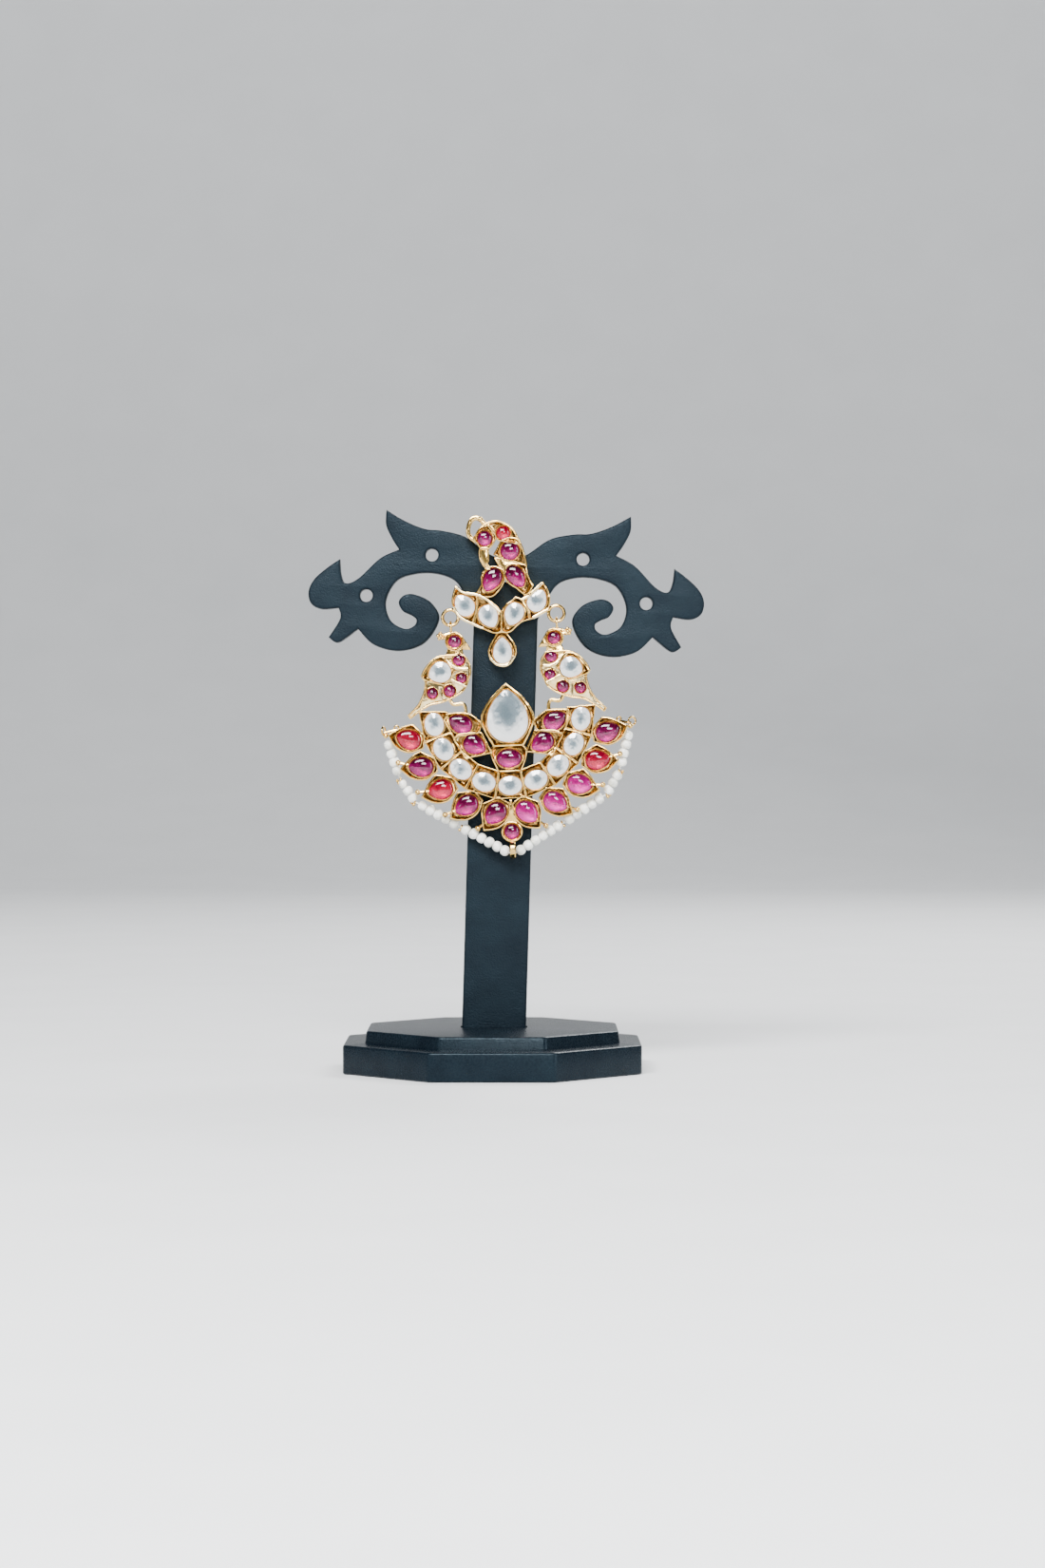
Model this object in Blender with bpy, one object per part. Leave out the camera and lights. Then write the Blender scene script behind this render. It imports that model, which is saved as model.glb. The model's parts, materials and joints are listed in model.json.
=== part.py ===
"""A chandbali earring on its small black plastic display stand.

The stand is a two-tier eight-sided base with a leaning flat upright, whose arms curl into
scrolls. The earring hangs on it by an ear post. Its top is a peacock over a row of cut
stones with a pendant. Below, free to swing on two side rings, hangs a crescent of stone
settings with a bird on each horn and a string of beads under its leaves.

Metres, +Z up, the front towards -Y, the origin at the middle of the base's underside.
The earring is drawn flat: u runs right, w runs up, and y is the distance behind the
middle of the swinging drop. The drop's own centre is u = 0, w = 0.
"""

import math
from collections import namedtuple

import bmesh
import bpy
from mathutils import Matrix, Vector

# Stand sizes
BASE_WIDTH = 0.065
BASE_HEIGHT = 0.0064
STEP_WIDTH = 0.055
STEP_HEIGHT = 0.0029
BASE_CHAMFER = 0.0004
BASE_SIDES = 8
UPRIGHT_LEAN = 1.65
UPRIGHT_THICKNESS = 0.0045
UPRIGHT_CHAMFER = 0.00035
POST_WIDTH = 0.0141
ARM_HEIGHT = 0.1097
ARM_REACH = 0.0435
PEG_HOLE = 0.0028
EAR_HOLE = 0.0028
EAR_HOLE_DROP = 0.0010
TENON_DEPTH = 0.0065
FIT_GAP = 0.0003

# Earring: how it hangs
EARRING_ROLL = 2.3
HANG_GAP = 0.0003
SWING_GAP = 0.0024
TOP_DEPTH = 0.0038
DROP_DEPTH = 0.0024
PENDANT_GAP = 0.0035
EAR_POST_WIDTH = 0.0009
EAR_POST_LENGTH = 0.0095

# Earring: top
TOP_SPAN = 0.0224
RING_WIDTH = 0.0042
RING_WIRE = 0.00075
LINK_WIDTH = 0.0030
LINK_WIRE = 0.0005
LINK_PLAY = 0.00035

# Earring: crescent
BAND_RADIUS = 0.0162
BAND_WIDTH = 0.0063
BAND_HALF_ARC = 92.5
BAND_STONES = 9
BAND_STONE_HEIGHT = 0.00415
BAND_STONE_SPACE = 0.00075
LEAF_STANDOFF = 0.0031
LEAF_RISE = 0.0042
LEAF_STEP = 16.9
LEAVES_A_SIDE = 5
LEAF_DEPTH = 0.0012
LEAF_STONE_LENGTH = 0.0054
LEAF_STONE_WIDTH = 0.0043
LEAF_SWEEP = 33
LEAF_START = 0.53  # from straight down to the first leaf, in leaf steps
LEAF_STAGGER = 0.006  # how much further back each next leaf lies, in shares of the depth
STUD_WIDTH = 0.0012
STUD_PLACE = (0.88, 0.52)  # outwards in leaf rises, sideways in leaf pitches
STUD_ROOT = (0.45, 0.25)
PEAR_LENGTH = 0.0115
PEAR_WIDTH = 0.00895
PEAR_SEAT = 0.62  # where it stands on the oval's setting, in shares of the oval's height
OVAL_LENGTH = 0.0054
OVAL_HEIGHT = 0.0041
OVAL_SPACE = 0.0008
TIP_STONE_WIDTH = 0.0033
TIP_DROP = 0.0038
STEM_SPREAD = 0.8  # the stem's foot on the tip's setting, in shares of its half width
STEM_RISE = 0.4
LOOP_WIDTH = 0.0041
LOOP_BAND = 0.0012
LOOP_WALL = 0.0008

# Bead string
BEAD_WIDTH = 0.0024
THREAD_WIDTH = 0.0005
HORN_LUG_WIDTH = 0.0014
HORN_LUG_ANGLE = 81.0
HORN_LUG_REACH = 1.018  # in shares of the leaf tips' distance from the centre
HORN_LUG_BACK = 0.45  # behind the drop's middle, in shares of its own width

# Settings and stones
RIM_WALL = 0.0004
RIM_SLOPE = 0.0004
POCKET_FLOOR = 0.0004
STONE_GAP = 0.00025
DOME_RISE = 0.0005
PAVILION = 0.86  # each level of a stone, in shares of its girdle
TABLE = 0.7
DOME_SHOULDER = 0.84
DOME_TOP = 0.5
CHIP_TOP = 0.6
STONE_SIDES = 12
OUTLINE_SIDES = 36
RING_SIDES = 12
WIRE_SIDES = 6
BALL_SIDES = 8
BALL_ROWS = 5
CHIP_SIDES = 8
BEAD_SIDES = 10
CURVE_STEPS = 2
SHARP_ANGLE = 35
MITRE_LIMIT = 0.5

# The right half of the upright's edge, in shares of the arm's reach from the arm line
ARM_EDGE = [
    # across, up, kind of point
    (0.000, 0.060, "round"), (0.094, 0.085, "round"), (0.211, 0.166, "round"),
    (0.331, 0.195, "round"), (0.421, 0.202, "round"), (0.526, 0.241, "round"),
    (0.618, 0.294, "sharp"), (0.618, 0.218, "round"), (0.586, 0.149, "round"),
    (0.549, 0.094, "sharp"), (0.644, 0.046, "round"), (0.749, -0.057, "round"),
    (0.812, -0.084, "round"), (0.838, -0.040, "round"), (0.846, 0.037, "sharp"),
    (0.910, -0.009, "round"), (0.972, -0.067, "round"), (1.000, -0.129, "round"),
    (0.986, -0.191, "round"), (0.931, -0.218, "round"), (0.846, -0.209, "sharp"),
    (0.837, -0.264, "round"), (0.892, -0.359, "sharp"), (0.841, -0.384, "round"),
    (0.745, -0.313, "sharp"), (0.662, -0.391, "round"), (0.531, -0.418, "round"),
    (0.405, -0.372, "round"), (0.336, -0.253, "round"), (0.377, -0.170, "round"),
    (0.455, -0.132, "round"), (0.512, -0.134, "round"), (0.543, -0.170, "round"),
    (0.522, -0.215, "round"), (0.478, -0.236, "round"), (0.452, -0.257, "round"),
    (0.461, -0.288, "round"), (0.510, -0.305, "round"), (0.584, -0.262, "round"),
    (0.608, -0.168, "round"), (0.560, -0.068, "round"), (0.474, -0.029, "round"),
    (0.370, -0.021, "round"), (0.270, -0.050, "round"), (0.215, -0.120, "round"),
]
ARM_FOOT = -0.241
PEG_HOLES = [(0.382, 0.071), (0.708, -0.143)]  # across, up

# Flat plates that make up a frame, in shares of the size that the frame follows, and
# how far each stands in front of and behind the frame's middle, in shares of its depth.
# Their stones: place, length, width, the way the point turns from upright, its sharpness
Plate = namedtuple("Plate", "name front back edge stone")
Stone = namedtuple("Stone", "across up length width turn point kind")

TOP_PLATES = [
    Plate("head", 0.47, 0.47,
          [(-0.270, 0.836), (-0.205, 0.934), (-0.134, 0.983), (-0.062, 0.934),
           (-0.040, 0.832), (-0.085, 0.756), (-0.134, 0.720), (-0.188, 0.720)],
          Stone(-0.152, 0.836, 0.147, 0.147, 0, 0, "ruby")),
    Plate("back_upper", 0.49, 0.46,
          [(-0.134, 0.970), (-0.045, 1.004), (0.018, 0.992), (0.121, 0.925),
           (0.179, 0.823), (0.170, 0.760), (0.013, 0.800), (-0.054, 0.863)],
          Stone(0.031, 0.881, 0.134, 0.134, 0, 0, "ruby")),
    Plate("back_lower", 0.48, 0.45,
          [(0.013, 0.815), (0.110, 0.840), (0.182, 0.815), (0.219, 0.720),
           (0.241, 0.631), (0.250, 0.555), (0.152, 0.586), (0.020, 0.626),
           (-0.074, 0.680)],
          Stone(0.089, 0.707, 0.181, 0.181, 0, 0, "ruby")),
    Plate("neck", 0.34, 0.43,
          [(-0.074, 0.653), (0.027, 0.667), (0.179, 0.622), (0.116, 0.524),
           (0.018, 0.492)], None),
    Plate("beak", 0.40, 0.44,
          [(-0.201, 0.742), (-0.208, 0.658), (-0.188, 0.600), (-0.147, 0.533),
           (-0.112, 0.533), (-0.134, 0.591), (-0.123, 0.635), (-0.125, 0.742)], None),
    Plate("body_left", 0.455, 0.465,
          [(-0.143, 0.559), (-0.009, 0.550), (0.031, 0.492), (0.027, 0.412),
           (-0.040, 0.305), (-0.129, 0.256), (-0.277, 0.287), (-0.210, 0.390),
           (-0.201, 0.479)],
          Stone(-0.098, 0.430, 0.246, 0.170, 210, 0.35, "ruby")),
    Plate("body_right", 0.465, 0.455,
          [(0.036, 0.537), (0.152, 0.582), (0.246, 0.568), (0.259, 0.461),
           (0.308, 0.363), (0.263, 0.285), (0.219, 0.256), (0.076, 0.390),
           (0.022, 0.448)],
          Stone(0.138, 0.452, 0.237, 0.165, 147, 0.35, "ruby")),
    Plate("row_left", 0.50, 0.50,
          [(-0.455, 0.390), (-0.500, 0.265), (-0.491, 0.184), (-0.430, 0.070),
           (-0.299, -0.003), (-0.107, -0.092), (-0.022, -0.092), (-0.022, 0.122),
           (-0.152, 0.251), (-0.241, 0.300), (-0.375, 0.327)], None),
    Plate("row_right", 0.495, 0.49,
          [(0.400, 0.399), (0.464, 0.251), (0.447, 0.108), (0.290, 0.033),
           (0.174, 0.001), (0.058, -0.092), (-0.027, -0.092), (-0.013, 0.131),
           (0.129, 0.260), (0.183, 0.233), (0.268, 0.283)], None),
    Plate("pendant", 0.44, 0.48,
          [(-0.022, -0.043), (0.049, -0.119), (0.112, -0.235), (0.103, -0.329),
           (0.040, -0.409), (-0.027, -0.425), (-0.094, -0.405), (-0.147, -0.342),
           (-0.161, -0.244), (-0.098, -0.128)],
          Stone(-0.022, -0.264, 0.259, 0.181, 0, 0.5, "polki")),
]
# Stones of the row, each with the edge of its own pocket
ROW_POCKETS = [
    Plate("row_outer_left", 0.50, 0.50,
          [(-0.440, 0.350), (-0.490, 0.260), (-0.480, 0.180), (-0.400, 0.080),
           (-0.310, 0.035), (-0.270, 0.150), (-0.260, 0.280), (-0.360, 0.310)],
          Stone(-0.379, 0.193, 0.228, 0.183, -35, 0.35, "polki")),
    Plate("row_inner_left", 0.50, 0.50,
          [(-0.255, 0.150), (-0.255, 0.020), (-0.110, -0.070), (-0.040, -0.060),
           (-0.030, 0.110), (-0.150, 0.230), (-0.230, 0.250)],
          Stone(-0.143, 0.073, 0.228, 0.183, 155, 0.35, "polki")),
    Plate("row_inner_right", 0.495, 0.49,
          [(0.010, 0.120), (0.020, -0.060), (0.060, -0.070), (0.180, 0.020),
           (0.225, 0.040), (0.215, 0.150), (0.180, 0.215), (0.120, 0.235)],
          Stone(0.103, 0.086, 0.228, 0.183, 205, 0.35, "polki")),
    Plate("row_outer_right", 0.495, 0.49,
          [(0.395, 0.370), (0.450, 0.250), (0.415, 0.125), (0.290, 0.055),
           (0.250, 0.050), (0.235, 0.150), (0.220, 0.230), (0.280, 0.265)],
          Stone(0.337, 0.211, 0.228, 0.183, 30, 0.35, "polki")),
]
CREST = [(-0.240, 0.810), (-0.299, 0.863), (-0.312, 0.925), (-0.290, 0.997),
         (-0.246, 1.037), (-0.188, 1.024), (-0.135, 0.950)]
CREST_WIDTH = 0.0010
RING_SEAT = 0.441  # where the side rings' wire meets the row, in shares of the span
EAR_POST_PLACE = (0.050, 0.470)  # across, up
EAR_POST_ROOT = 0.455  # the back of the setting that it stands on, in shares of the depth

# The right-hand bird, in shares of the hinge line's height over the crescent's centre
BIRD_PLATES = [
    Plate("body", 0.34, 0.30,
          [(0.462, 0.654), (0.410, 0.571), (0.397, 0.467), (0.426, 0.366),
           (0.483, 0.259), (0.605, 0.182), (0.732, 0.135), (0.898, 0.099),
           (1.100, -0.036), (1.121, -0.005), (0.981, 0.150), (0.913, 0.353),
           (0.955, 0.436), (0.913, 0.519), (0.810, 0.623), (0.695, 0.659)], None),
    Plate("neck", 0.30, 0.26,
          [(0.477, 0.760), (0.638, 0.760), (0.685, 0.633), (0.467, 0.623)], None),
    Plate("beak", 0.24, 0.22, [(0.477, 0.882), (0.377, 0.714), (0.500, 0.721)], None),
    Plate("wing", 0.46, 0.27,
          [(0.695, 0.654), (0.810, 0.623), (0.955, 0.436), (0.929, 0.389),
           (0.695, 0.317), (0.566, 0.488)],
          Stone(0.747, 0.470, 0.259, 0.239, 110, 0.35, "polki")),
]
BIRD_HEAD = Stone(0.564, 0.815, 0.145, 0.145, 0, 0, "ruby")
BIRD_HEAD_WIDTH = 0.00426
BIRD_CHIPS = [
    # across, up, width of the small stones that are one with the bird
    (0.524, 0.607, 0.138), (0.503, 0.400, 0.119),
    (0.643, 0.259, 0.135), (0.841, 0.239, 0.125),
]
BIRD_LEG = [(0.659, 0.200), (0.607, 0.104), (0.503, 0.109), (0.472, 0.057), (0.472, -0.060)]
BIRD_LEG_WIDTH = 0.0008
BIRD_KNOT = (0.721, 0.882)
BIRD_KNOT_WIDTH = 0.0020
KNOT_STEM_WIDTH = 0.0008

# Settings inside the band, right-hand ones mirrored, in shares of the band's inner radius
INNER_PLATES = [
    Plate("inner_upper", 0.46, 0.40,
          [(0.425, -0.170), (0.667, 0.008), (1.023, 0.008), (1.085, -0.085),
           (0.925, -0.411), (0.480, -0.345)],
          Stone(0.798, -0.171, 0.411, 0.310, 62, 0.45, "ruby")),
    Plate("inner_lower", 0.45, 0.41,
          [(0.270, -0.690), (0.440, -0.325), (0.798, -0.333), (0.930, -0.430),
           (0.720, -0.790), (0.640, -0.752)],
          Stone(0.566, -0.539, 0.395, 0.326, 238, 0.45, "ruby")),
]
# The oval's setting, in shares of the oval's length and height from its own centre
OVAL_EDGE = [(-0.62, 0.70), (0.62, 0.70), (0.74, 0.21), (0.47, -0.75), (-0.47, -0.75),
             (-0.74, 0.21)]
# The centre pear's setting, in shares of the stone's width and length from its middle
PEAR_EDGE = [(0.0, 0.626), (0.44, 0.31), (0.66, -0.085), (0.37, -0.585), (-0.37, -0.585),
             (-0.66, -0.085), (-0.44, 0.31)]
# One leaf: outwards in shares of the leaf's rise, sideways in shares of the leaf pitch
LEAF_EDGE = [(0.98, 0.32), (0.10, 0.46), (-0.45, 0.45), (-0.92, -0.05), (-0.62, -0.44),
             (0.14, -0.46), (0.75, -0.16)]

# The bead string's stations from horn to bottom: angle from straight down, distance
# from the centre in shares of the leaf tips', depth behind the middle in shares of the
# drop's depth, and the beads up to the next one
STRING_STATIONS = [
    (80.5, 1.045, 0.60, 4), (59.5, 1.045, 0.66, 3), (48.1, 1.062, 0.66, 5),
    (23.6, 1.025, 0.62, 6),
]
# One bead along the thread: place in shares of its pitch, fatness from thread to full
BEAD_SWELL = [(0.05, 0.1), (0.28, 1.0), (0.72, 1.0), (0.95, 0.1)]

# How far the other metal pieces stand in front of and behind their frame's middle, in
# shares of its depth; a minus means that the back lies in front of the middle
LAYERS = {
    "crest": (0.38, 0.20), "crest ball": (0.30, 0.0), "band": (0.50, 0.50),
    "leaf": (0.45, 0.0), "stud": (0.25, -0.08), "stud ball": (0.17, 0.0),
    "oval": (0.44, 0.42), "pear": (0.55, 0.43), "tip": (0.43, 0.10), "stem": (0.40, 0.08),
    "bird head": (0.44, 0.28), "bird chip": (0.40, 0.0), "bird leg": (0.18, 0.14),
    "link stem": (0.16, 0.12), "knot stem": (0.14, 0.10),
}

GOLD = ((0.72, 0.52, 0.24), 0.22, 1.0)
BLACK_PLASTIC = ((0.035, 0.045, 0.055), 0.55, 0.0)
RUBY = ((0.55, 0.02, 0.22), 0.12, 0.0)
POLKI = ((0.72, 0.76, 0.78), 0.10, 0.0)
BEAD_WHITE = ((0.75, 0.78, 0.74), 0.35, 0.0)


def clear_scene():
    for old in list(bpy.data.objects):
        bpy.data.objects.remove(old, do_unlink=True)


def make_material(name, look):
    """A Principled material with a colour, a roughness and a metallic value."""
    colour, roughness, metallic = look
    material = bpy.data.materials.new(name)
    material.use_nodes = True
    shader = material.node_tree.nodes["Principled BSDF"]
    shader.inputs["Base Color"].default_value = (*colour, 1.0)
    shader.inputs["Roughness"].default_value = roughness
    shader.inputs["Metallic"].default_value = metallic
    return material


# Flat outlines
def polar(radius, degrees):
    """A point at an angle from straight down, positive to the right."""
    turn = math.radians(degrees)
    return (radius * math.sin(turn), -radius * math.cos(turn))


def scaled(points, size, centre=(0.0, 0.0), tall=None):
    """Points in shares of a size (and a height, if it has its own) about a centre."""
    height = size if tall is None else tall
    return [(centre[0] + p[0] * size, centre[1] + p[1] * height) for p in points]


def mirrored(points):
    return [(-u, w) for u, w in reversed(points)]


def stone_edge(length, width, turn, point, sides):
    """An oval, or a drop whose point turns clockwise from upright by so many degrees."""
    angles = [math.tau * k / sides for k in range(sides)]
    lean = math.radians(turn)
    bulge = [math.sin(a) * math.sin(a / 2) ** point for a in angles]
    fullest = max(math.sin(a) * math.sin(a / 2) ** point
                  for a in [math.pi * k / 90 for k in range(91)])
    edge = []
    for angle, side in zip(angles, bulge):
        across = side / fullest * width / 2
        up = math.cos(angle) * length / 2
        edge.append((across * math.cos(lean) + up * math.sin(lean),
                     up * math.cos(lean) - across * math.sin(lean)))
    return edge


def strip_edge(points, width):
    """The outline of a flat strip of one width along a line of points."""
    left, right = [], []
    for k, (u, w) in enumerate(points):
        before = points[max(k - 1, 0)]
        after = points[min(k + 1, len(points) - 1)]
        run = Vector((after[0] - before[0], after[1] - before[1])).normalized()
        left.append((u - run.y * width / 2, w + run.x * width / 2))
        right.append((u + run.y * width / 2, w - run.x * width / 2))
    return left + right[::-1]


def smooth_edge(stations, steps):
    """A curve through stations (u, w, kind), rounded at those marked round."""
    curve = []
    for k in range(len(stations) - 1):
        start, end = Vector(stations[k][:2]), Vector(stations[k + 1][:2])
        before = Vector(stations[max(k - 1, 0)][:2]) if stations[k][2] == "round" else start
        last = min(k + 2, len(stations) - 1)
        after = Vector(stations[last][:2]) if stations[k + 1][2] == "round" else end
        for step in range(steps):
            t = step / steps
            curve.append(0.5 * (2 * start + (end - before) * t
                                + (2 * before - 5 * start + 4 * end - after) * t * t
                                + (3 * start - before - 3 * end + after) * t ** 3))
    curve.append(Vector(stations[-1][:2]))
    return [(p.x, p.y) for p in curve]


def inset_edge(points, amount):
    """The outline moved inwards; points run anticlockwise seen from the front."""
    count = len(points)
    moved = []
    for k in range(count):
        here = Vector(points[k])
        run_in = (here - Vector(points[k - 1])).normalized()
        run_out = (Vector(points[(k + 1) % count]) - here).normalized()
        side_in = Vector((-run_in.y, run_in.x))
        side_out = Vector((-run_out.y, run_out.x))
        mitre = (side_in + side_out) / max(1.0 + side_in.dot(side_out), MITRE_LIMIT)
        moved.append(tuple(here + mitre * amount))
    return moved


def turns_left(points):
    """The outline's points in anticlockwise order."""
    area = sum(a[0] * b[1] - b[0] * a[1] for a, b in zip(points, points[1:] + points[:1]))
    return points if area > 0 else points[::-1]


def reach(points, centre, angle):
    """How far an outline lies from a point inside it, along one direction."""
    ray = Vector((math.cos(angle), math.sin(angle)))
    best = 0.0
    for a, b in zip(points, points[1:] + points[:1]):
        start = Vector(a) - Vector(centre)
        edge = Vector(b) - Vector(a)
        cross = ray.x * edge.y - ray.y * edge.x
        if cross == 0.0:
            continue
        along = (start.x * ray.y - start.y * ray.x) / cross
        distance = (start.x * edge.y - start.y * edge.x) / cross
        if 0.0 <= along <= 1.0:
            best = max(best, distance)
    return best


# Solids
def loft(bm, rings, closed=False):
    """Skin over rings of points; the ends are capped, or joined if it is closed."""
    loops = [[bm.verts.new(p) for p in ring] for ring in rings]
    pairs = list(zip(loops, loops[1:]))
    if closed:
        pairs.append((loops[-1], loops[0]))
    else:
        bm.faces.new(loops[0][::-1])
        bm.faces.new(loops[-1])
    for low, high in pairs:
        count = len(low)
        for k in range(count):
            nxt = (k + 1) % count
            bm.faces.new((low[k], low[nxt], high[nxt], high[k]))


def flat_ring(points, depth):
    return [(u, depth, w) for u, w in points]


def add_prism(bm, points, front, back):
    loft(bm, [flat_ring(points, front), flat_ring(points, back)])


def add_hoop(bm, centre, width, wire, axis):
    """A round wire ring about the y axis (it faces the front) or the u axis (edge on)."""
    middle = (width - wire) / 2
    rings = []
    for k in range(RING_SIDES):
        around = math.tau * (k + 0.5) / RING_SIDES
        ring = []
        for j in range(WIRE_SIDES):
            turn = math.tau * j / WIRE_SIDES
            out = middle + wire / 2 * math.cos(turn)
            off = wire / 2 * math.sin(turn)
            if axis == "y":
                shift = (out * math.cos(around), off, out * math.sin(around))
            else:
                shift = (off, out * math.cos(around), out * math.sin(around))
            ring.append(tuple(c + s for c, s in zip(centre, shift)))
        rings.append(ring)
    loft(bm, rings, closed=True)


def add_band_loop(bm, centre, width, wall, band):
    """A flat band bent into a loop, seen edge on from the front."""
    rings = []
    for k in range(RING_SIDES):
        around = math.tau * k / RING_SIDES
        ring = []
        for out, off in ((0, -1), (0, 1), (-wall, 1), (-wall, -1)):
            radius = width / 2 + out
            ring.append((centre[0] + off * band / 2,
                         centre[1] + radius * math.cos(around),
                         centre[2] + radius * math.sin(around)))
        rings.append(ring)
    loft(bm, rings, closed=True)


def add_ball(bm, centre, width):
    bmesh.ops.create_uvsphere(bm, u_segments=BALL_SIDES, v_segments=BALL_ROWS,
                              radius=width / 2, matrix=Matrix.Translation(centre))


def add_pocket(bm, edge, centre, stone, front, floor):
    """A cutter that slopes from a setting's rim to its stone and drops to the floor."""
    outline = stone_edge(stone.length, stone.width, stone.turn, stone.point, OUTLINE_SIDES)
    wide, deep = [], []
    for k in range(STONE_SIDES):
        angle = math.tau * k / STONE_SIDES
        snug = reach(outline, (0, 0), angle) + STONE_GAP
        rim = max(reach(edge, centre, angle) - RIM_WALL, snug)
        wide.append((centre[0] + rim * math.cos(angle), centre[1] + rim * math.sin(angle)))
        deep.append((centre[0] + snug * math.cos(angle), centre[1] + snug * math.sin(angle)))
    loft(bm, [flat_ring(wide, front - DOME_RISE), flat_ring(wide, front),
              flat_ring(deep, front + RIM_SLOPE), flat_ring(deep, floor)])


def add_stone(bm, centre, stone, front, floor):
    """A cut stone: a girdle, a sloping crown and a flat table."""
    edge = stone_edge(stone.length, stone.width, stone.turn, stone.point, STONE_SIDES)
    girdle = front + RIM_SLOPE
    base = floor - STONE_GAP
    if stone.kind == "ruby":
        levels = [(base, PAVILION), (girdle, 1.0), (front - DOME_RISE / 2, DOME_SHOULDER),
                  (front - DOME_RISE, DOME_TOP)]
    else:
        levels = [(base, PAVILION), (girdle, 1.0), (front, TABLE)]
    loft(bm, [flat_ring(scaled(edge, share, centre), depth) for depth, share in levels])


def add_chip(bm, centre, width, front, back):
    """A small domed stone that is one with the metal round it."""
    edge = stone_edge(width, width, 0, 0, CHIP_SIDES)
    loft(bm, [flat_ring(scaled(edge, 1.0, centre), back),
              flat_ring(scaled(edge, 1.0, centre), front),
              flat_ring(scaled(edge, CHIP_TOP, centre), front - DOME_RISE / 2)])


# Objects
def add_empty(name, location, roll, parent=None):
    empty = bpy.data.objects.new(name, None)
    empty.location = location
    empty.rotation_euler = (0.0, math.radians(roll), 0.0)
    empty.parent = parent
    bpy.context.scene.collection.objects.link(empty)
    return empty


def add_object(name, bm, material, parent=None, origin=(0.0, 0.0, 0.0)):
    """An object whose mesh is drawn about the point that its parent stands on."""
    bmesh.ops.translate(bm, verts=bm.verts, vec=-Vector(origin))
    bmesh.ops.recalc_face_normals(bm, faces=bm.faces)
    mesh = bpy.data.meshes.new(name)
    bm.to_mesh(mesh)
    bm.free()
    mesh.shade_smooth()
    mesh.set_sharp_from_angle(angle=math.radians(SHARP_ANGLE))
    mesh.materials.append(material)
    item = bpy.data.objects.new(name, mesh)
    item.parent = parent
    bpy.context.scene.collection.objects.link(item)
    return item


def add_tool(name, bm, material, parent, origin=(0.0, 0.0, 0.0)):
    """A hidden shape that another object is joined to or cut by."""
    tool = add_object(name, bm, material, parent, origin)
    tool.hide_render = True
    tool.display_type = "WIRE"
    return tool


def combine(item, tool, operation, crossing=False):
    """Joins or cuts with a tool, whose own pieces may cross each other."""
    step = item.modifiers.new(operation.title(), "BOOLEAN")
    step.operation = operation
    step.solver = "EXACT"
    step.use_self = crossing
    step.object = tool


class Frame:
    """One metal frame: plates to be joined, pockets to be cut, and its loose stones."""

    def __init__(self, name, middle, depth, parent, origin, materials):
        self.name = name
        self.middle = middle
        self.depth = depth
        self.parent = parent
        self.origin = origin
        self.materials = materials
        self.first = bmesh.new()
        self.metal = bmesh.new()
        self.pockets = bmesh.new()

    def front(self, share):
        return self.middle - share * self.depth

    def back(self, share):
        return self.middle + share * self.depth

    def layer(self, name):
        """The depths of a piece's front and back."""
        front, back = LAYERS[name]
        return self.front(front), self.back(back)

    def set_stone(self, name, edge, centre, stone, front, back):
        """Cuts a pocket for a stone and places the stone in it as its own object."""
        floor = back - POCKET_FLOOR
        add_pocket(self.pockets, edge, centre, stone, front, floor)
        gem = bmesh.new()
        add_stone(gem, centre, stone, front, floor)
        add_object(name, gem, self.materials[stone.kind], self.parent, self.origin)

    def add_plate(self, plate, name, size, centre=(0.0, 0.0), mirror=False, solid=True):
        """One plate of a table at its true size, with its stone if it has one."""
        edge = scaled(plate.edge, size, centre)
        side = -1 if mirror else 1
        if mirror:
            edge = mirrored(edge)
        front, back = self.front(plate.front), self.back(plate.back)
        if solid:
            add_prism(self.metal, edge, front, back)
        if plate.stone:
            stone = plate.stone
            spot = (side * (centre[0] + stone.across * size), centre[1] + stone.up * size)
            cut = stone._replace(length=stone.length * size, width=stone.width * size,
                                 turn=stone.turn * side)
            self.set_stone(name, edge, spot, cut, front, back)

    def finish(self):
        item = add_object(self.name, self.first, self.materials["gold"], self.parent,
                          self.origin)
        metal = add_tool(self.name + "_joined", self.metal, self.materials["gold"],
                         self.parent, self.origin)
        pockets = add_tool(self.name + "_pockets", self.pockets, self.materials["gold"],
                           self.parent, self.origin)
        combine(item, metal, "UNION", crossing=True)
        combine(item, pockets, "DIFFERENCE", crossing=True)
        return item


# The stand
def base_ring(width, height):
    """The base's eight-sided outline at one height, a flat side to the front."""
    corner = width / 2 / math.cos(math.pi / BASE_SIDES)
    angles = [math.tau * (k + 0.5) / BASE_SIDES for k in range(BASE_SIDES)]
    return [(corner * math.cos(a), corner * math.sin(a), height) for a in angles]


def build_base(materials, upright):
    top = BASE_HEIGHT + STEP_HEIGHT
    cut = 2 * BASE_CHAMFER
    levels = [(BASE_WIDTH - cut, 0.0), (BASE_WIDTH, BASE_CHAMFER),
              (BASE_WIDTH, BASE_HEIGHT - BASE_CHAMFER), (BASE_WIDTH - cut, BASE_HEIGHT),
              (STEP_WIDTH, BASE_HEIGHT), (STEP_WIDTH, top - BASE_CHAMFER),
              (STEP_WIDTH - cut, top)]
    bm = bmesh.new()
    loft(bm, [base_ring(width, height) for width, height in levels])
    base = add_object("stand_base", bm, materials["plastic"])

    socket = bmesh.new()
    half = POST_WIDTH / 2 + FIT_GAP
    low = top - TENON_DEPTH - FIT_GAP
    edge = [(-half, low), (half, low), (half, top + TENON_DEPTH), (-half, top + TENON_DEPTH)]
    side = UPRIGHT_THICKNESS / 2 + FIT_GAP
    add_prism(socket, edge, -side, side)
    combine(base, add_tool("base_socket", socket, materials["plastic"], upright),
            "DIFFERENCE")


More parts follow.
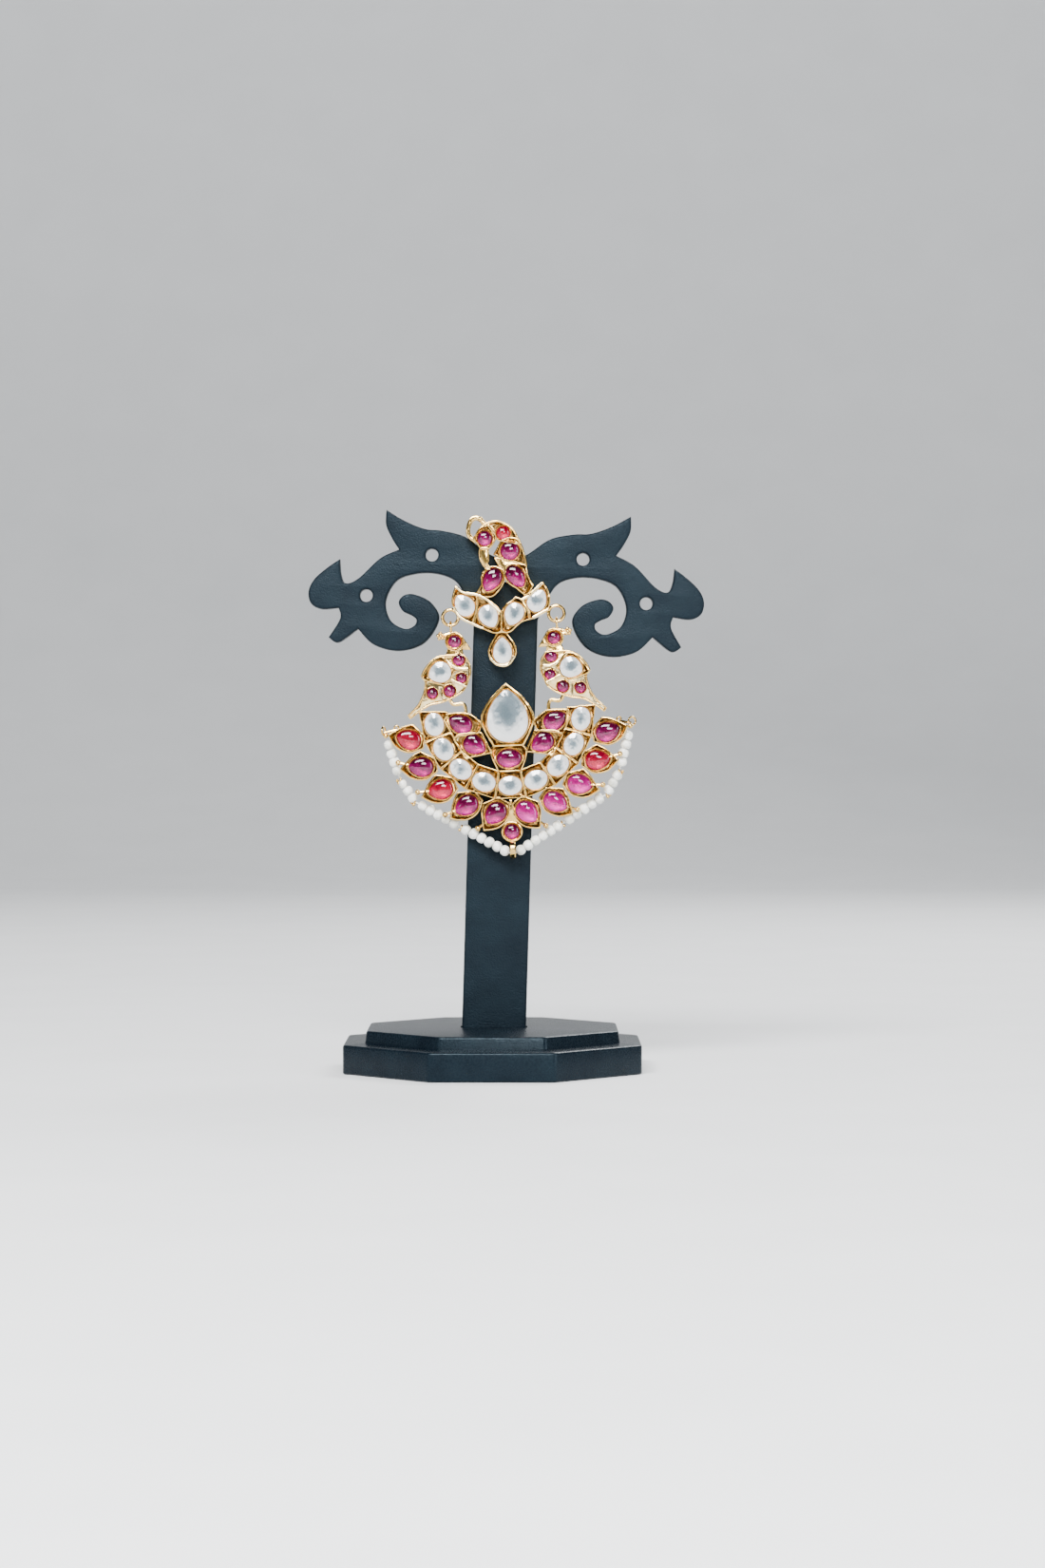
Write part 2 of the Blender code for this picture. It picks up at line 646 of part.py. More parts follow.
def upright_edge():
    """The upright's whole outline: the right half from the table, and its mirror image."""
    stations = [(u * ARM_REACH, ARM_HEIGHT + w * ARM_REACH, kind) for u, w, kind in ARM_EDGE]
    stations.append((POST_WIDTH / 2, ARM_HEIGHT + ARM_FOOT * ARM_REACH, "sharp"))
    right = smooth_edge(stations, CURVE_STEPS)
    right.append((POST_WIDTH / 2, BASE_HEIGHT + STEP_HEIGHT - TENON_DEPTH))
    return turns_left(mirrored(right[1:]) + right)


def build_upright(materials, upright):
    edge = upright_edge()
    slim = inset_edge(edge, UPRIGHT_CHAMFER)
    face = UPRIGHT_THICKNESS / 2
    bm = bmesh.new()
    loft(bm, [flat_ring(slim, -face), flat_ring(edge, UPRIGHT_CHAMFER - face),
              flat_ring(edge, face - UPRIGHT_CHAMFER), flat_ring(slim, face)])
    item = add_object("stand_upright", bm, materials["plastic"], upright)

    holes = bmesh.new()
    spots = [(side * u * ARM_REACH, ARM_HEIGHT + w * ARM_REACH, PEG_HOLE)
             for u, w in PEG_HOLES for side in (-1, 1)]
    spots.append((0.0, ARM_HEIGHT - EAR_HOLE_DROP, EAR_HOLE))
    for u, w, width in spots:
        rim = stone_edge(width, width, 0, 0, RING_SIDES)
        add_prism(holes, scaled(rim, 1.0, (u, w)), -UPRIGHT_THICKNESS, UPRIGHT_THICKNESS)
    combine(item, add_tool("upright_holes", holes, materials["plastic"], upright),
            "DIFFERENCE")


# The earring's plan: sizes that follow from the driving ones
def band_inner():
    return BAND_RADIUS - BAND_WIDTH / 2


def band_outer():
    return BAND_RADIUS + BAND_WIDTH / 2


def leaf_radius():
    return band_outer() + LEAF_STANDOFF


def leaf_tip():
    return leaf_radius() + LEAF_RISE


def oval_centre():
    """The oval's middle, just inside the lowest part of the band."""
    return (0.0, -(band_inner() - OVAL_SPACE - OVAL_HEIGHT / 2))


def pear_centre():
    """The centre pear's middle: its setting stands on the oval's setting."""
    foot = -min(w for _, w in PEAR_EDGE)
    return (0.0, oval_centre()[1] + PEAR_SEAT * OVAL_HEIGHT + foot * PEAR_LENGTH)


def hinge_rise():
    """How high the hinge line lies: the pendant clears the centre pear's setting."""
    pear_top = pear_centre()[1] + max(w for _, w in PEAR_EDGE) * PEAR_LENGTH
    pendant = TOP_PLATES[-1].edge
    return pear_top + PENDANT_GAP - min(w for _, w in pendant) * TOP_SPAN


def ring_spread():
    """How far out a side ring's middle lies, its inner wire soldered to the row."""
    return RING_SEAT * TOP_SPAN + (RING_WIDTH - RING_WIRE) / 2


def ring_centres():
    """The side rings, whose lowest wire lies on the hinge line."""
    rise = hinge_rise() + (RING_WIDTH - RING_WIRE) / 2
    return [(side * ring_spread(), 0.0, rise) for side in (-1, 1)]


def top_middle():
    """The top frame's middle plane, behind the drop's."""
    return SWING_GAP + DROP_DEPTH / 2 - HANG_GAP - TOP_DEPTH / 2


def ear_post_point():
    """Where the ear post meets the back of the top frame."""
    return (EAR_POST_PLACE[0] * TOP_SPAN, top_middle() + TOP_DEPTH / 2,
            hinge_rise() + EAR_POST_PLACE[1] * TOP_SPAN)


# The top of the earring
def build_top(materials, hang):
    origin = ear_post_point()
    frame = Frame("top_frame", top_middle(), TOP_DEPTH, hang, origin, materials)
    centre = (0.0, hinge_rise())
    first, *rest = TOP_PLATES
    add_prism(frame.first, scaled(first.edge, TOP_SPAN, centre), frame.front(first.front),
              frame.back(first.back))
    frame.add_plate(first, "stone_peacock_head", TOP_SPAN, centre, solid=False)
    for plate in rest:
        frame.add_plate(plate, "stone_" + plate.name, TOP_SPAN, centre)
    for plate in ROW_POCKETS:
        frame.add_plate(plate, "stone_" + plate.name, TOP_SPAN, centre, solid=False)

    crest = scaled(CREST, TOP_SPAN, centre)
    add_prism(frame.metal, turns_left(strip_edge(crest, CREST_WIDTH)),
              *frame.layer("crest"))
    add_ball(frame.metal, (crest[-2][0], frame.layer("crest ball")[0], crest[-2][1]),
             STUD_WIDTH)
    for ring in ring_centres():
        add_hoop(frame.metal, ring, RING_WIDTH, RING_WIRE, "y")
    add_ear_post(frame)
    frame.finish()


def add_ear_post(frame):
    """A plain post soldered to the back, through the upright's hole and out behind it."""
    u, back, w = ear_post_point()
    root = frame.back(EAR_POST_ROOT) - POCKET_FLOOR / 2
    tip = back + EAR_POST_LENGTH
    levels = [(EAR_POST_WIDTH, root), (EAR_POST_WIDTH, tip - EAR_POST_WIDTH / 2),
              (EAR_POST_WIDTH / 2, tip)]
    loft(frame.metal, [flat_ring(scaled(stone_edge(width, width, 0, 0, RING_SIDES), 1.0,
                                        (u, w)), depth) for width, depth in levels])


# The swinging drop
def build_band(frame):
    """The band of cut stones: one plate of straight segments with a pocket a stone."""
    step = 2 * BAND_HALF_ARC / BAND_STONES
    bounds = [-BAND_HALF_ARC + step * k for k in range(BAND_STONES + 1)]
    inner = [polar(band_inner(), a) for a in bounds]
    outer = [polar(band_outer(), a) for a in reversed(bounds)]
    front, back = frame.layer("band")
    add_prism(frame.first, inner + outer, front, back)
    pitch = 2 * BAND_RADIUS * math.tan(math.radians(step / 2))
    for k in range(BAND_STONES):
        middle = bounds[k] + step / 2
        edge = [inner[k], inner[k + 1], polar(band_outer(), bounds[k + 1]),
                polar(band_outer(), bounds[k])]
        stone = Stone(0, 0, pitch - BAND_STONE_SPACE, BAND_STONE_HEIGHT, 90 - middle, 0,
                      "polki")
        frame.set_stone("stone_band_%d" % (k + 1), edge, polar(BAND_RADIUS, middle), stone,
                        front, back)


def build_leaves(frame):
    """Ten swept leaves round the band, each with a drop stone and a ball by its tip."""
    pitch = leaf_radius() * math.radians(LEAF_STEP)
    for side, word in ((-1, "left"), (1, "right")):
        for k in range(LEAVES_A_SIDE):
            angle = LEAF_STEP * (k + LEAF_START)
            turn = math.radians(angle)
            outwards = Vector((math.sin(turn), -math.cos(turn)))
            sideways = Vector((math.cos(turn), math.sin(turn)))
            centre = outwards * leaf_radius()
            edge = [centre + outwards * p * LEAF_RISE + sideways * q * pitch
                    for p, q in LEAF_EDGE]
            edge = [(side * p.x, p.y) for p in edge]
            stagger = LEAF_STAGGER * (k + (0.5 if side > 0 else 0.0))
            front = frame.layer("leaf")[0] + stagger * DROP_DEPTH
            back = front + LEAF_DEPTH
            add_prism(frame.metal, turns_left(edge), front, back)
            stone = Stone(0, 0, LEAF_STONE_LENGTH, LEAF_STONE_WIDTH,
                          side * (180 - angle - LEAF_SWEEP), 0.35, "ruby")
            frame.set_stone("stone_leaf_%s_%d" % (word, k + 1), edge,
                            (side * centre.x, centre.y), stone, front, back)
            if k < LEAVES_A_SIDE - 1:
                build_stud(frame, centre, outwards, sideways, pitch, side)


def build_stud(frame, centre, outwards, sideways, pitch, side):
    """A ball beside a leaf's tip, on a short arm from the leaf."""
    root, ball = [centre + outwards * LEAF_RISE * out + sideways * pitch * across
                  for out, across in (STUD_ROOT, STUD_PLACE)]
    arm = [(side * root.x, root.y), (side * ball.x, ball.y)]
    add_prism(frame.metal, turns_left(strip_edge(arm, STUD_WIDTH / 2)),
              *frame.layer("stud"))
    add_ball(frame.metal, (side * ball.x, frame.layer("stud ball")[0], ball.y), STUD_WIDTH)


def build_inner(frame):
    """The settings inside the band: two drops a side, the oval and the centre pear."""
    for plate in INNER_PLATES:
        for mirror, word in ((True, "left"), (False, "right")):
            frame.add_plate(plate, "stone_%s_%s" % (plate.name, word), band_inner(),
                            mirror=mirror)
    edge = scaled(OVAL_EDGE, OVAL_LENGTH, oval_centre(), OVAL_HEIGHT)
    front, back = frame.layer("oval")
    add_prism(frame.metal, edge, front, back)
    stone = Stone(0, 0, OVAL_LENGTH, OVAL_HEIGHT, 90, 0, "ruby")
    frame.set_stone("stone_inner_oval", edge, oval_centre(), stone, front, back)

    edge = scaled(PEAR_EDGE, PEAR_WIDTH, pear_centre(), PEAR_LENGTH)
    front, back = frame.layer("pear")
    add_prism(frame.metal, edge, front, back)
    stone = Stone(0, 0, PEAR_LENGTH, PEAR_WIDTH, 0, 0.5, "polki")
    frame.set_stone("stone_centre_pear", edge, pear_centre(), stone, front, back)


def build_tip(frame):
    """The small drop at the bottom: a round stone, its stem and the string's loop."""
    centre = (0.0, -(leaf_radius() + TIP_DROP))
    half = TIP_STONE_WIDTH / 2 + STONE_GAP + RIM_WALL
    front, back = frame.layer("tip")
    bowl = scaled(stone_edge(2, 2, 0, 0, STONE_SIDES), half, centre)
    add_prism(frame.metal, bowl, front, back)
    foot, low = half * STEM_SPREAD, centre[1] + half * STEM_RISE
    stem = [(-foot, low), (foot, low), (STUD_WIDTH / 4, -band_outer()),
            (-STUD_WIDTH / 4, -band_outer())]
    add_prism(frame.metal, stem, *frame.layer("stem"))
    stone = Stone(0, 0, TIP_STONE_WIDTH, TIP_STONE_WIDTH, 0, 0, "ruby")
    frame.set_stone("stone_tip", bowl, centre, stone, front, back)
    add_band_loop(frame.metal, loop_centre(), LOOP_WIDTH, LOOP_WALL, LOOP_BAND)


def loop_centre():
    """The loop under the tip stone, sunk a little into its setting."""
    setting = leaf_radius() + TIP_DROP + TIP_STONE_WIDTH / 2 + STONE_GAP
    return (0.0, 0.0, -(setting + LOOP_WIDTH / 2))


def build_bird(frame, mirror, word):
    """A bird on one horn: body, neck, beak, wing, head, leg and small stones."""
    size = hinge_rise()
    side = -1 if mirror else 1
    for plate in BIRD_PLATES:
        frame.add_plate(plate, "stone_wing_" + word, size, mirror=mirror)

    head = (side * BIRD_HEAD.across * size, BIRD_HEAD.up * size)
    disc = scaled(stone_edge(1, 1, 0, 0, STONE_SIDES), BIRD_HEAD_WIDTH, head)
    front, back = frame.layer("bird head")
    add_prism(frame.metal, disc, front, back)
    stone = BIRD_HEAD._replace(length=BIRD_HEAD.length * size, width=BIRD_HEAD.width * size)
    frame.set_stone("stone_bird_head_" + word, disc, head, stone, front, back)

    for across, up, width in BIRD_CHIPS:
        add_chip(frame.metal, (side * across * size, up * size), width * size,
                 *frame.layer("bird chip"))

    leg = [(side * u * size, w * size) for u, w in BIRD_LEG]
    add_prism(frame.metal, turns_left(strip_edge(leg, BIRD_LEG_WIDTH)),
              *frame.layer("bird leg"))
    build_link(frame, side, head)


def build_link(frame, side, head):
    """The small ring through the side ring, and the ball knot that ties it to the bird."""
    size = hinge_rise()
    u = side * ring_spread()
    drop = LINK_WIDTH / 2 - LINK_WIRE - RING_WIRE / 2 - LINK_PLAY / 2
    centre = (u, 0.0, size - drop)
    add_hoop(frame.metal, centre, LINK_WIDTH, LINK_WIRE, "u")
    foot = (u, centre[2] - LINK_WIDTH / 2 + LINK_WIRE / 2)
    knot = (side * BIRD_KNOT[0] * size, BIRD_KNOT[1] * size)
    for start, end, layer in ((foot, knot, "link stem"), (knot, head, "knot stem")):
        edge = strip_edge([start, end], KNOT_STEM_WIDTH)
        add_prism(frame.metal, turns_left(edge), *frame.layer(layer))
    add_ball(frame.metal, (knot[0], frame.middle, knot[1]), BIRD_KNOT_WIDTH)


def horn_lug(side):
    """The ball behind the last leaf's tip, where one end of the string is held."""
    u, w = polar(leaf_tip() * HORN_LUG_REACH, side * HORN_LUG_ANGLE)
    return Vector((u, HORN_LUG_WIDTH * HORN_LUG_BACK, w))


def build_drop(materials, hinge):
    frame = Frame("drop_frame", 0.0, DROP_DEPTH, hinge, (0.0, 0.0, hinge_rise()), materials)
    build_band(frame)
    build_leaves(frame)
    build_inner(frame)
    build_tip(frame)
    for mirror, word in ((True, "left"), (False, "right")):
        build_bird(frame, mirror, word)
    for side in (-1, 1):
        add_ball(frame.metal, horn_lug(side), HORN_LUG_WIDTH)
    frame.finish()


# The bead string
def string_stations():
    """The string's corners from the left horn through the loop to the right horn."""
    half = []
    for angle, share, depth, beads in STRING_STATIONS:
        u, w = polar(leaf_tip() * share, angle)
        half.append((Vector((u, depth * DROP_DEPTH, w)), beads))
    start = horn_lug(1)
    gap = HORN_LUG_WIDTH / 2 + FIT_GAP
    half[0] = (start + (half[1][0] - start).normalized() * gap, half[0][1])
    centre = Vector(loop_centre())
    low = centre.z - (LOOP_WIDTH / 2 - LOOP_WALL) + THREAD_WIDTH / 2 + FIT_GAP
    beside = LOOP_BAND / 2 + FIT_GAP
    half.append((Vector((beside, 0.0, low)), 0))
    left = [(Vector((-p.x, p.y, p.z)), beads) for p, beads in half]
    right = half[::-1]
    beads_right = [beads for _, beads in half[:-1]][::-1]
    run = left[:-1] + [(left[-1][0], 0)]
    for k, (point, _) in enumerate(right):
        run.append((point, beads_right[k] if k < len(beads_right) else 0))
    return run


def build_beads(materials, hinge):
    """Beads threaded close together, one swelling of the thread for each bead."""
    thin, full = THREAD_WIDTH / 2, BEAD_WIDTH / 2
    stations = string_stations()
    spine = []
    for (start, beads), (end, _) in zip(stations, stations[1:]):
        spine.append((start, thin))
        for k in range(beads):
            for share, fatness in BEAD_SWELL:
                place = start.lerp(end, (k + share) / beads)
                spine.append((place, thin + (full - thin) * fatness))
    spine.append((stations[-1][0], thin))

    rings = []
    for k, (place, radius) in enumerate(spine):
        ahead = spine[min(k + 1, len(spine) - 1)][0] - spine[max(k - 1, 0)][0]
        turn = ahead.to_track_quat("X", "Y").to_matrix()
        rings.append([place + turn @ Vector((0.0, radius * math.cos(a), radius * math.sin(a)))
                      for a in [math.tau * j / BEAD_SIDES for j in range(BEAD_SIDES)]])
    bm = bmesh.new()
    loft(bm, rings)
    add_object("bead_string", bm, materials["bead"], hinge, (0.0, 0.0, hinge_rise()))


def build_all():
    clear_scene()
    materials = {
        "plastic": make_material("black_plastic", BLACK_PLASTIC),
        "gold": make_material("gold", GOLD),
        "ruby": make_material("ruby", RUBY),
        "polki": make_material("polki", POLKI),
        "bead": make_material("bead_white", BEAD_WHITE),
    }
    upright = add_empty("upright_foot", (0.0, 0.0, 0.0), UPRIGHT_LEAN)
    build_base(materials, upright)
    build_upright(materials, upright)

    lean = Matrix.Rotation(math.radians(UPRIGHT_LEAN), 3, "Y")
    hole = lean @ Vector((0.0, 0.0, ARM_HEIGHT - EAR_HOLE_DROP))
    face = UPRIGHT_THICKNESS / 2
    hang = add_empty("hang_point", (hole.x, -face - HANG_GAP, hole.z), -EARRING_ROLL)
    build_top(materials, hang)

    post = Vector(ear_post_point())
    hinge = add_empty("drop_hinge", Vector((0.0, 0.0, hinge_rise())) - post, 0.0, hang)
    build_drop(materials, hinge)
    build_beads(materials, hinge)


build_all()
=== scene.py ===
import json
import math
from collections import namedtuple

import bmesh
import bpy
from mathutils import Matrix, Vector, noise


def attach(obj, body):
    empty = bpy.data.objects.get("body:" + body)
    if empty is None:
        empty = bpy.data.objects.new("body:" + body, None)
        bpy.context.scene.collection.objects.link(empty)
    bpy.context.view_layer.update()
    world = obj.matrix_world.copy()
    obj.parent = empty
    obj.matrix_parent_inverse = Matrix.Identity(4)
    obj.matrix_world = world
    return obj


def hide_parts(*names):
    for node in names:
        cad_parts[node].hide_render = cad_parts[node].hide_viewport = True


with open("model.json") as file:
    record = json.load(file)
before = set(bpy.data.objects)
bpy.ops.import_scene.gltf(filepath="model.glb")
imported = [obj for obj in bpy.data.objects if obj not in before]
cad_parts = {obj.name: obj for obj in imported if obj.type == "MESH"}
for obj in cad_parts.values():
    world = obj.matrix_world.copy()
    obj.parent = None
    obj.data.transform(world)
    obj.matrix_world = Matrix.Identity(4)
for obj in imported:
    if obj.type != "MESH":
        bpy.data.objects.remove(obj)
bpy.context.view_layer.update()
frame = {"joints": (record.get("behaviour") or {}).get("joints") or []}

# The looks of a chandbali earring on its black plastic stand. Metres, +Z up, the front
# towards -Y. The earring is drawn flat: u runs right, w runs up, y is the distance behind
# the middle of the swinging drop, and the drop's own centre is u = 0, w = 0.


def trace(*numbers):
    """Points from their coordinates in thousandths, across and up by turns."""
    return [(u / 1000, w / 1000) for u, w in zip(numbers[::2], numbers[1::2])]


# Stand sizes
BASE_WIDTH = 0.065
BASE_HEIGHT = 0.0064
STEP_WIDTH = 0.055
STEP_HEIGHT = 0.0029
BASE_SIDES = 8
BASE_FILLET = 0.0005
BASE_CORNER = 0.0007
UPRIGHT_LEAN = 1.65
UPRIGHT_THICKNESS = 0.0045
UPRIGHT_FILLET = 0.00055
POST_WIDTH = 0.0141
ARM_HEIGHT = 0.1097
ARM_REACH = 0.0435
PEG_HOLE = 0.0028
EAR_HOLE = 0.0028
EAR_HOLE_DROP = 0.0010
TENON_DEPTH = 0.0065
FIT_GAP = 0.0003

# Earring sizes
HINGE_RISE = 0.0192885
SWING_GAP = 0.0024
HANG_GAP = 0.0003
TOP_DEPTH = 0.0038
DROP_DEPTH = 0.0024
EAR_POST_WIDTH = 0.0009
EAR_POST_LENGTH = 0.0095
EAR_POST_POINT = 0.0006
TOP_SPAN = 0.0224
RING_WIDTH = 0.0042
RING_WIRE = 0.00075
RING_SPREAD = 0.0116
LINK_WIDTH = 0.0030
LINK_WIRE = 0.0005
LINK_PLAY = 0.00035
BAND_RADIUS = 0.0162
BAND_WIDTH = 0.0063
BAND_HALF_ARC = 92.5
BAND_STONES = 9
BAND_STONE_HEIGHT = 0.00415
BAND_STONE_SPACE = 0.00075
LEAF_STANDOFF = 0.0031
LEAF_RISE = 0.0042
LEAF_STEP = 16.9
LEAVES_A_SIDE = 5
LEAF_DEPTH = 0.0012
LEAF_STONE_LENGTH = 0.0054
LEAF_STONE_WIDTH = 0.0043
LEAF_SWEEP = 33
STUD_WIDTH = 0.0012
PEAR_LENGTH = 0.0115
PEAR_WIDTH = 0.00895
OVAL_LENGTH = 0.0054
OVAL_HEIGHT = 0.0041
OVAL_SPACE = 0.0008
TIP_STONE_WIDTH = 0.0033
TIP_DROP = 0.0038
TIP_WALL = 0.00065
LOOP_WIDTH = 0.0041
LOOP_BAND = 0.0012
LOOP_WALL = 0.0008
LOOP_SINK = 0.00025
BEAD_WIDTH = 0.0024
BEAD_PITCH = 0.00198
EYELET_WIDTH = 0.0014
EYELET_WIRE = 0.00045
EYELET_SPREAD = 0.0003
THREAD_WIDTH = 0.0005
HORN_REACH = 1.018
HORN_ANGLE = 81.0
HORN_LUG_WIDTH = 0.0014
HORN_HOOK_WIDTH = 0.0022
HORN_HOOK_WIRE = 0.00045

# Fine sizes of the settings and stones
RIM = 0.00034
RIM_ROUND = 0.00013
RIM_STAND = 0.0002
LIP_WIDTH = 0.00022
LIP_DROP = 0.00005
VALLEY_DEPTH = 0.00058
VALLEY = [(0.66, 0.7), (0.34, 1.0), (0.08, 1.0)]
SEAM_DEPTH = 0.00042
FLOOR_SKIN = 0.0004
STONE_GAP = 0.00010
GIRDLE_DEPTH = 0.00038
RUBY_RISE = 0.00086
GIRDLE_WIDTH = 0.00006
BOWL_DEPTH = 0.00030
BOWL = [(0.02, 1.0), (0.45, 0.92), (0.75, 0.65), (0.93, 0.3)]
TABLE_RISE = 0.00002
CROWN_WIDTH = 0.00092
CROWN_FACETS = 10
WEAR = 0.00007
WEAR_SEED = 5
RAYS = 64
WIRE_SIDES = 10
RING_STEPS = 44
LOOP_STEPS = 36

# The right half of the upright's edge, in shares of the arm's reach from the arm line: the
# middle of the top, then smooth stretches that each end in a sharp corner
ARM_MIDDLE = (0.000, 0.060)
ARM_EDGE = [
    trace(94, 85, 211, 166, 331, 195, 421, 202, 526, 241, 618, 294),
    trace(618, 218, 586, 149, 549, 94),
    trace(644, 46, 749, -57, 812, -84, 838, -40, 846, 37),
    trace(910, -9, 972, -67, 1000, -129, 986, -191, 931, -218, 846, -209),
    trace(837, -264, 892, -359),
    trace(841, -384, 745, -313),
    trace(662, -391, 531, -418, 405, -372, 336, -253, 377, -170, 455, -132, 512, -134,
            543, -170, 522, -215, 478, -236, 452, -257, 461, -288, 510, -305, 584, -262,
            608, -168, 560, -68, 474, -29, 370, -21, 270, -50, 215, -120),
]
ARM_FOOT = -0.241
ARM_STEPS = 7
TIP_CLEAR = 0.0009
HOLE_SIDES = 36
WELD = 0.000002
PEG_HOLES = trace(382, 71, 708, -143)

# Settings, in shares of the size that each group follows. Front and back are shares of the
# group's depth. Their stones: place, length, width, turn from upright, sharpness of point
Plate = namedtuple("Plate", "name front back edge stone")
Stone = namedtuple("Stone", "across up length width turn point kind")

TOP_PLATES = [
    Plate("peacock_head", 0.47, 0.47,
          trace(-270, 836, -205, 934, -134, 983, -62, 934, -40, 832, -85, 756, -134, 720,
                  -188, 720),
          Stone(-0.152, 0.836, 0.147, 0.147, 0, 0, "ruby")),
    Plate("back_upper", 0.49, 0.46,
          trace(-134, 970, -45, 1004, 18, 992, 121, 925, 179, 823, 170, 760, 13, 800, -54, 863),
          Stone(0.031, 0.881, 0.134, 0.134, 0, 0, "red")),
    Plate("back_lower", 0.48, 0.45,
          trace(13, 815, 110, 840, 182, 815, 219, 720, 241, 631, 250, 555, 152, 586, 20, 626,
                  -74, 680),
          Stone(0.089, 0.707, 0.181, 0.181, 0, 0, "ruby")),
    Plate("neck", 0.34, 0.43,
          trace(-62, 640, 10, 628, 150, 588, 116, 524, 18, 492), None),
    Plate("beak", 0.40, 0.44,
          trace(-201, 742, -208, 658, -188, 600, -147, 533, -112, 533, -134, 591, -123, 635,
                  -125, 742), None),
    Plate("body_left", 0.455, 0.465,
          trace(-143, 559, -9, 550, 31, 492, 27, 412, -40, 305, -129, 256, -277, 287,
                  -210, 390, -201, 479),
          Stone(-0.098, 0.430, 0.246, 0.170, 210, 0.35, "ruby")),
    Plate("body_right", 0.465, 0.455,
          trace(36, 537, 152, 582, 246, 568, 259, 461, 308, 363, 263, 285, 219, 256, 76, 390,
                  22, 448),
          Stone(0.138, 0.452, 0.237, 0.165, 147, 0.35, "ruby")),
    Plate("row_outer_left", 0.50, 0.50,
          trace(-455, 390, -500, 265, -491, 184, -430, 70, -299, -3, -262, 150, -241, 300,
                  -375, 327),
          Stone(-0.379, 0.193, 0.228, 0.183, -35, 0.35, "polki")),
    Plate("row_inner_left", 0.50, 0.50,
          trace(-262, 150, -299, -3, -107, -92, -22, -92, -22, 122, -152, 251, -241, 300),
          Stone(-0.143, 0.073, 0.228, 0.183, 155, 0.35, "polki")),
    Plate("row_inner_right", 0.495, 0.49,
          trace(-22, 122, -22, -92, 58, -92, 174, 1, 262, 25, 235, 150, 183, 233, 129, 260),
          Stone(0.103, 0.086, 0.228, 0.183, 205, 0.35, "polki")),
    Plate("row_outer_right", 0.495, 0.49,
          trace(400, 399, 464, 251, 447, 108, 290, 33, 262, 25, 235, 150, 183, 233, 268, 283),
          Stone(0.337, 0.211, 0.228, 0.183, 30, 0.35, "polki")),
    Plate("pendant", 0.44, 0.48,
          trace(-22, -43, 49, -119, 112, -235, 103, -329, 40, -409, -27, -425, -94, -405,
                  -147, -342, -161, -244, -98, -128),
          Stone(-0.022, -0.264, 0.259, 0.181, 0, 0.5, "polki")),
]
CREST = trace(-240, 810, -299, 863, -312, 925, -290, 997, -246, 1037, -188, 1024, -135, 950)
CREST_WIDTH = 0.0010
BACK_RIDGE = trace(-134, 978, -45, 998, 18, 986, 116, 922, 173, 823, 212, 720, 234, 631,
                     243, 562)
ROW_RIDGES = [
    trace(-450, 375, -375, 314, -241, 286, -155, 237, -34, 115),
    trace(388, 375, 268, 270, 187, 220),
    trace(-478, 180, -424, 79, -299, 8, -200, -38),
    trace(438, 118, 290, 43),
    trace(-140, -335, -90, -393, -27, -412, 36, -396, 92, -325),
]
ROW_RIDGE_WIDTH = 0.00062
EAR_POST_PLACE = (0.050, 0.470)

# The right-hand bird, in shares of the hinge line's height over the crescent's centre
BIRD_BODY = trace(462, 654, 410, 571, 397, 467, 426, 366, 483, 259, 605, 182, 732, 135,
                    898, 99, 1100, -36, 1121, -5, 981, 150, 913, 353, 955, 436, 913, 519,
                    810, 623, 695, 659)
BIRD_NECK = trace(477, 760, 638, 760, 685, 633, 467, 623)
BIRD_BEAK = trace(477, 882, 377, 714, 500, 721)
BIRD_WING = Plate("wing", 0.46, 0.27,
                  trace(695, 654, 810, 623, 955, 436, 929, 389, 695, 317, 566, 488),
                  Stone(0.747, 0.470, 0.259, 0.239, 110, 0.35, "polki"))
BIRD_HEAD = Stone(0.564, 0.815, 0.145, 0.145, 0, 0, "ruby")
BIRD_HEAD_WIDTH = 0.00426
BIRD_CHIPS = [
    # across, up, width
    (0.524, 0.607, 0.138), (0.503, 0.400, 0.119),
    (0.643, 0.259, 0.135), (0.841, 0.239, 0.125),
]
BIRD_STRIPS = [
    trace(430, 500, 560, 515, 700, 640),
    trace(455, 300, 540, 345, 620, 385),
    trace(735, 150, 742, 230, 745, 315),
]
BIRD_STRIP_WIDTH = 0.0007
CHIP_STAND = 0.0001
BIRD_LEG = trace(659, 200, 607, 104, 503, 109, 472, 57, 472, -60)
BIRD_LEG_WIDTH = 0.0008
BIRD_KNOT = (0.721, 0.882)
BIRD_KNOT_WIDTH = 0.0020
KNOT_BALL = 0.00082
KNOT_RISE = 0.00015

# Settings inside the band, right-hand ones mirrored, in shares of the band's inner radius
INNER_PLATES = [
    Plate("inner_upper", 0.46, 0.40,
          trace(425, -170, 667, 8, 1023, 8, 1085, -85, 925, -411, 480, -345),
          Stone(0.798, -0.171, 0.411, 0.310, 62, 0.45, "ruby")),
    Plate("inner_lower", 0.45, 0.41,
          trace(270, -690, 440, -325, 798, -333, 930, -430, 720, -790, 640, -752),
          Stone(0.566, -0.539, 0.395, 0.326, 238, 0.45, "ruby")),
]
OVAL_EDGE = trace(-620, 700, 620, 700, 740, 210, 470, -750, -470, -750, -740, 210)
PEAR_EDGE = trace(0, 626, 440, 310, 660, -85, 370, -585, -370, -585, -660, -85, -440, 310)
LEAF_EDGE = trace(980, 320, 100, 460, -450, 450, -920, -50, -620, -440, 140, -460, 750, -160)
REDDER_LEAVES = ("left_3", "left_5", "right_4")
PINKER_LEAVES = ("right_1", "right_2", "right_3")

